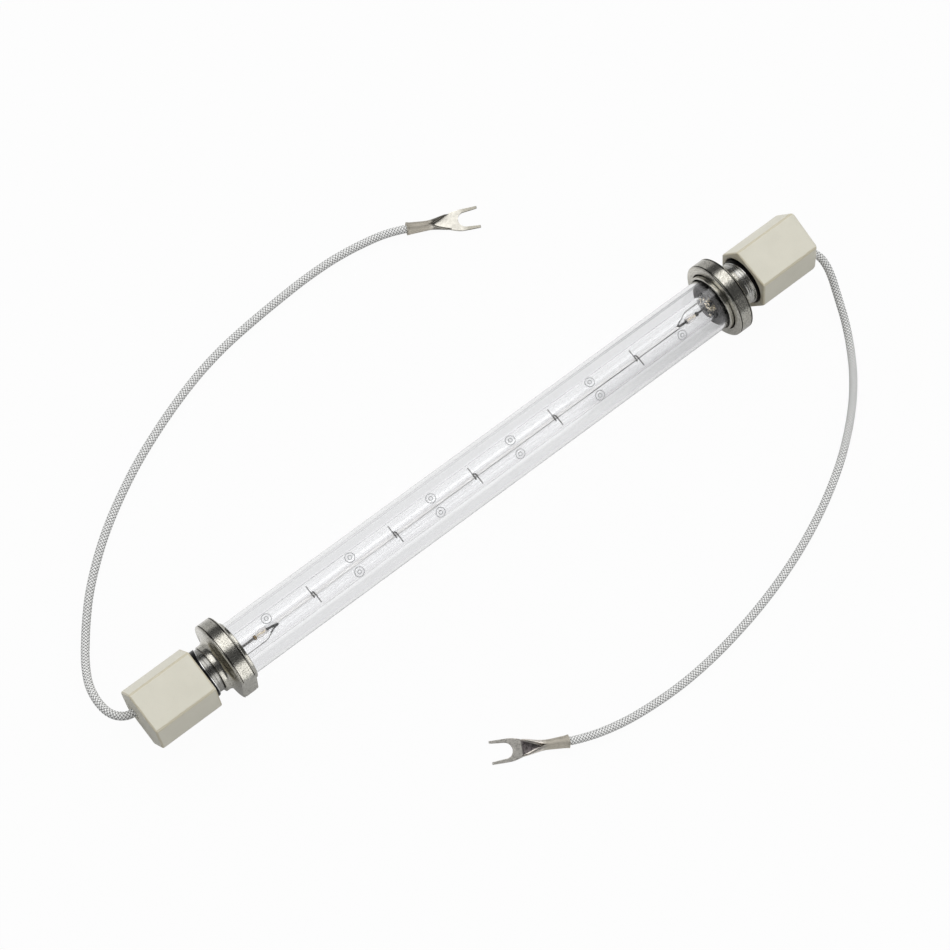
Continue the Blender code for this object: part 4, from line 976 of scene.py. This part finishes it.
def make_lead(side):
    """Everything on the lead inside the glass, and the rod's way on to the cable."""
    s = SIDES[side]
    turn_start, turn_end = BUSH_END + 0.8, JOINT_START - 0.8
    bend = []
    for along, across in ((0.0, 0.0), (0.25, 0.16), (0.50, 0.50), (0.75, 0.84), (1.0, 1.0)):
        bend.append((turn_start + along * (turn_end - turn_start), across * JOINT_SIDE, across * JOINT_DROP))
    route = [(DARK_BEAD_START + 0.2, 0.0, 0.0), (104.0, 0.0, 0.0), (110.0, 0.0, 0.0)]
    route += [tuple(p) for p in smooth_route(bend, 6)] + [(JOINT_START + 2.9, JOINT_SIDE, JOINT_DROP)]
    end_piece(side, "rod", tube(turned(s, route), ROD_R, 16), "lead", "lead_wire", "lead_rod", 50.0)
    dark = barrel_profile(DARK_BEAD_R, ROD_R - 0.1, DARK_BEAD_START, DARK_BEAD_END)
    end_piece(side, "brown_bead", lathe(dark, s, 48), f"{side}_brown", "brown_bead", "dark_bead")
    pale = barrel_profile(BEAD_R, ROD_R + 0.15, BEAD_START, BEAD_END, 20)
    bead = end_piece(side, "pale_bead", lathe(pale, s, 64), "bead_glass", "quartz_glass", "glass_bead")
    bead.visible_shadow = False
    core = [(WOUND_START + 0.4, 0.05, 0.0), (95.4, 0.16, 0.1), (96.8, -0.10, 0.05), (DARK_BEAD_START + 0.3, 0.0, 0.0)]
    end_piece(side, "bead_core", tube(turned(s, smooth_route(core, 4)), 0.2, 10), "copper", "lead_wire")

    # Crimp: the filament's tail and the side wire's end are wound on and meet in a narrow V
    lean = CRIMP_LEAN[side]
    leg = [(WOUND_START, 0.0, 0.0), (91.6, 0.22 + 0.3 * lean, 0.05), (WOUND_TIP, 0.55 + 0.5 * lean, 0.1)]
    arm = [(WOUND_ARM, 1.95, 0.0), (91.6, 1.30, 0.05), (WOUND_TIP + 0.5, 0.75 + 0.5 * lean, 0.1)]
    shapes = []
    for way, radius in ((leg, 0.50), (arm, 0.40 if side == "left" else 0.30)):
        way = smooth_route(way, 6)
        shapes.append(tube(turned(s, way), radius - 0.16, 14))
        shapes.append(tube(turned(s, wound(way, radius - 0.13, 0.40)), 0.13, 7))
    end_piece(side, "wound_crimp", merged(*shapes), "wound", "dark_metal", "filament_crimp")

    # Side wire from the seal to the crimp
    offset = SIDE_WIRE_OFFSET
    bend = [(97.6, offset, 0.0), (96.2, offset - 0.02, 0.0), (94.9, offset - 0.25, 0.0), (94.1, offset - 0.65, 0.0),
            (WOUND_ARM - 0.2, 1.9, 0.0), (91.6, 1.30, 0.05)]
    route = [(SEAL_END, offset, 0.0), (102.0, offset, 0.0)] + [tuple(p) for p in smooth_route(bend, 6)]
    end_piece(side, "return_wire", tube(turned(s, route), SIDE_WIRE_R, 12), "lead", "lead_wire", "side_wire")

    # Loose ends of foil and wire in front of the seal
    draw = random.Random(FOIL_SEED + s)
    strands = ([], [])
    front = SEAL_START - (3.0 if side == "right" else 0.0)
    for number in range(FOIL_STRANDS):
        spot = Vector((front + draw.uniform(0.0, 2.2), draw.uniform(-3.4, 1.6), draw.uniform(0.0, 3.4)))
        way = [spot.copy()]
        for _ in range(FOIL_TURNS):
            spot += Vector((draw.uniform(-0.9, 0.9), draw.uniform(-0.9, 0.9), draw.uniform(-0.7, 0.7)))
            spot.x = min(max(spot.x, front), front + 2.8)
            off = math.hypot(spot.y, spot.z)
            if off > FOIL_REACH:
                spot.y, spot.z = spot.y * FOIL_REACH / off, spot.z * FOIL_REACH / off
            way.append(spot.copy())
        strands[number % 2].append(tube(turned(s, smooth_route(way, 2)), 0.13 if number % 2 else 0.19, 6))
    end_piece(side, "foil", merged(*strands[0]), "foil", "brown_bead", sharp=30.0)
    end_piece(side, "loose_wire", merged(*strands[1]), "wound", "dark_metal", sharp=30.0)

    # The part's own solids, shown as they are
    for node, material in (("cable_joint", "tin"), ("lead_bush", "bush"), ("end_seal", "bead_glass")):
        coat(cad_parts[f"{side}_{node}"], material)
    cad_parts[f"{side}_end_seal"].visible_shadow = False


# Round marks on the glass, plain rings
LOWER_MARKS = (-58.1, -23.0, 12.2, 48.2, 86.1)
UPPER_MARKS = (-93.2, -57.9, -23.0, 12.1, 47.9)


def make_marks():
    shapes = []
    wire_r = 0.11
    surface = TUBE_R + 0.03
    for y, places in ((-4.2, LOWER_MARKS), (1.6, UPPER_MARKS)):
        centre = math.asin(y / TUBE_R)
        for x in places:
            for radius, steps in ((1.72, 48), (0.68, 28)):
                path = []
                for i in range(steps):
                    a = 2 * math.pi * i / steps
                    turn = centre + radius * math.sin(a) / TUBE_R
                    across, up = surface * math.sin(turn), AXIS + surface * math.cos(turn)
                    path.append((x + radius * math.cos(a), across, up))
                shapes.append(tube(path, wire_r, 6, closed=True))
    piece = make_piece("round_marks", *merged(*shapes), "mark", "clear_glass", sharp=80.0)
    piece.visible_shadow = False


# Floor, lamps and surroundings
BACKDROP_LEVEL, FAR_BACKDROP_LEVEL, ROOM_LEVEL = 0.85, 0.16, 0.06
AMBIENT_LEVEL, AMBIENT_LEAN = 0.62, (0.32, 0.36, 0.0)
# A painted pool of light: the band of floor behind the lamp that metal sees as white, in metres
WHITE_RISE, WHITE_FALL = (0.011, 0.016), (0.020, 0.044)


def make_floor():
    r = Recipe("floor")
    paths = r.node("LightPath").outputs
    share = r.most(r.mul(paths["Is Camera Ray"], 0.96), r.mul(paths["Is Transmission Ray"], 0.84))
    _, y, _ = r.split(r.place((MM, MM, MM)))
    # Painted pool of light, seen only in reflections
    painted_pool = r.mul(r.remap(y, *WHITE_RISE), r.remap(y, *WHITE_FALL, 1.0, 0.0))
    behind = r.add(r.mul(painted_pool, 0.80), 0.13)
    share = r.most(share, r.mul(paths["Is Glossy Ray"], behind))
    paper = r.noise(0.02, 3.0)
    tint = r.ramp(paper, (0.3, (0.50, 0.50, 0.50)), (0.7, (0.52, 0.52, 0.52)))
    diffuse = r.node("BsdfDiffuse", {"Color": tint}).outputs[0]
    white = r.node("Emission", {"Color": (1.0, 1.0, 1.0, 1.0), "Strength": 1.0}).outputs[0]
    mixed = r.node("MixShader", {0: share, 1: diffuse, 2: white}).outputs[0]
    work = bmesh.new()
    bmesh.ops.create_grid(work, x_segments=1, y_segments=1, size=25.0)
    floor = placed("floor", work)
    floor.data.materials.append(r.output("OutputMaterial", mixed))
    floor.location.z = -0.0001


def make_lamp(name, place, aim, size, radiance):
    data = bpy.data.lights.new(name, "AREA")
    data.shape = "RECTANGLE"
    data.size, data.size_y = size
    data.energy = radiance * math.pi * size[0] * size[1]
    lamp = placed(name, data)
    lamp.location = place
    lamp.rotation_euler = (Vector(place) - Vector(aim)).to_track_quat("Z", "Y").to_euler()


def make_world():
    r = Recipe("studio", bpy.data.worlds)
    bpy.context.scene.world = r.owner
    paths = r.node("LightPath").outputs
    way = r.node("TexCoord").outputs["Generated"]

    # Metal sees a pale backdrop low down, darker on the lamp's far side, and a dim room above it
    _, y, z = r.split(way)
    backdrop = r.remap(y, 0.2, 0.7, BACKDROP_LEVEL, FAR_BACKDROP_LEVEL)
    level = r.remap(z, 0.02, 0.12, backdrop, ROOM_LEVEL)
    studio = r.node("Background", {"Color": (0.95, 0.98, 1.0, 1.0), "Strength": level}).outputs[0]

    # Soft light on the object is stronger from behind it than from its near side
    lean = r.node("VectorMath", {0: way, 1: AMBIENT_LEAN}, operation="DOT_PRODUCT").outputs["Value"]
    values = {"Color": (0.98, 0.99, 1.0, 1.0), "Strength": r.add(lean, AMBIENT_LEVEL)}
    ambient = r.node("Background", values).outputs[0]

    white = r.node("Background", {"Color": (1.0, 1.0, 1.0, 1.0), "Strength": 1.0}).outputs[0]
    around = r.node("MixShader", {0: paths["Is Glossy Ray"], 1: ambient, 2: studio}).outputs[0]
    seen = r.most(paths["Is Camera Ray"], paths["Is Transmission Ray"])
    r.output("OutputWorld", r.node("MixShader", {0: seen, 1: around, 2: white}).outputs[0])


make_camera()
cables = {side: make_cable(side) for side in SIDES}
forks = {side: make_fork(side) for side in SIDES}
make_tubes()
make_filament()
make_supports()
for side in SIDES:
    make_end(side)
make_marks()
make_floor()
make_world()
make_lamp("key_softbox", (0.15, 0.61, 1.03), (0.15, 0.0, 0.0), (1.9, 0.86), 1.72)
make_lamp("side_softbox", (0.04, -0.828, 0.459), (0.04, 0.0, 0.0), (0.64, 0.76), 1.5)

bpy.context.scene.view_settings.view_transform = "Standard"
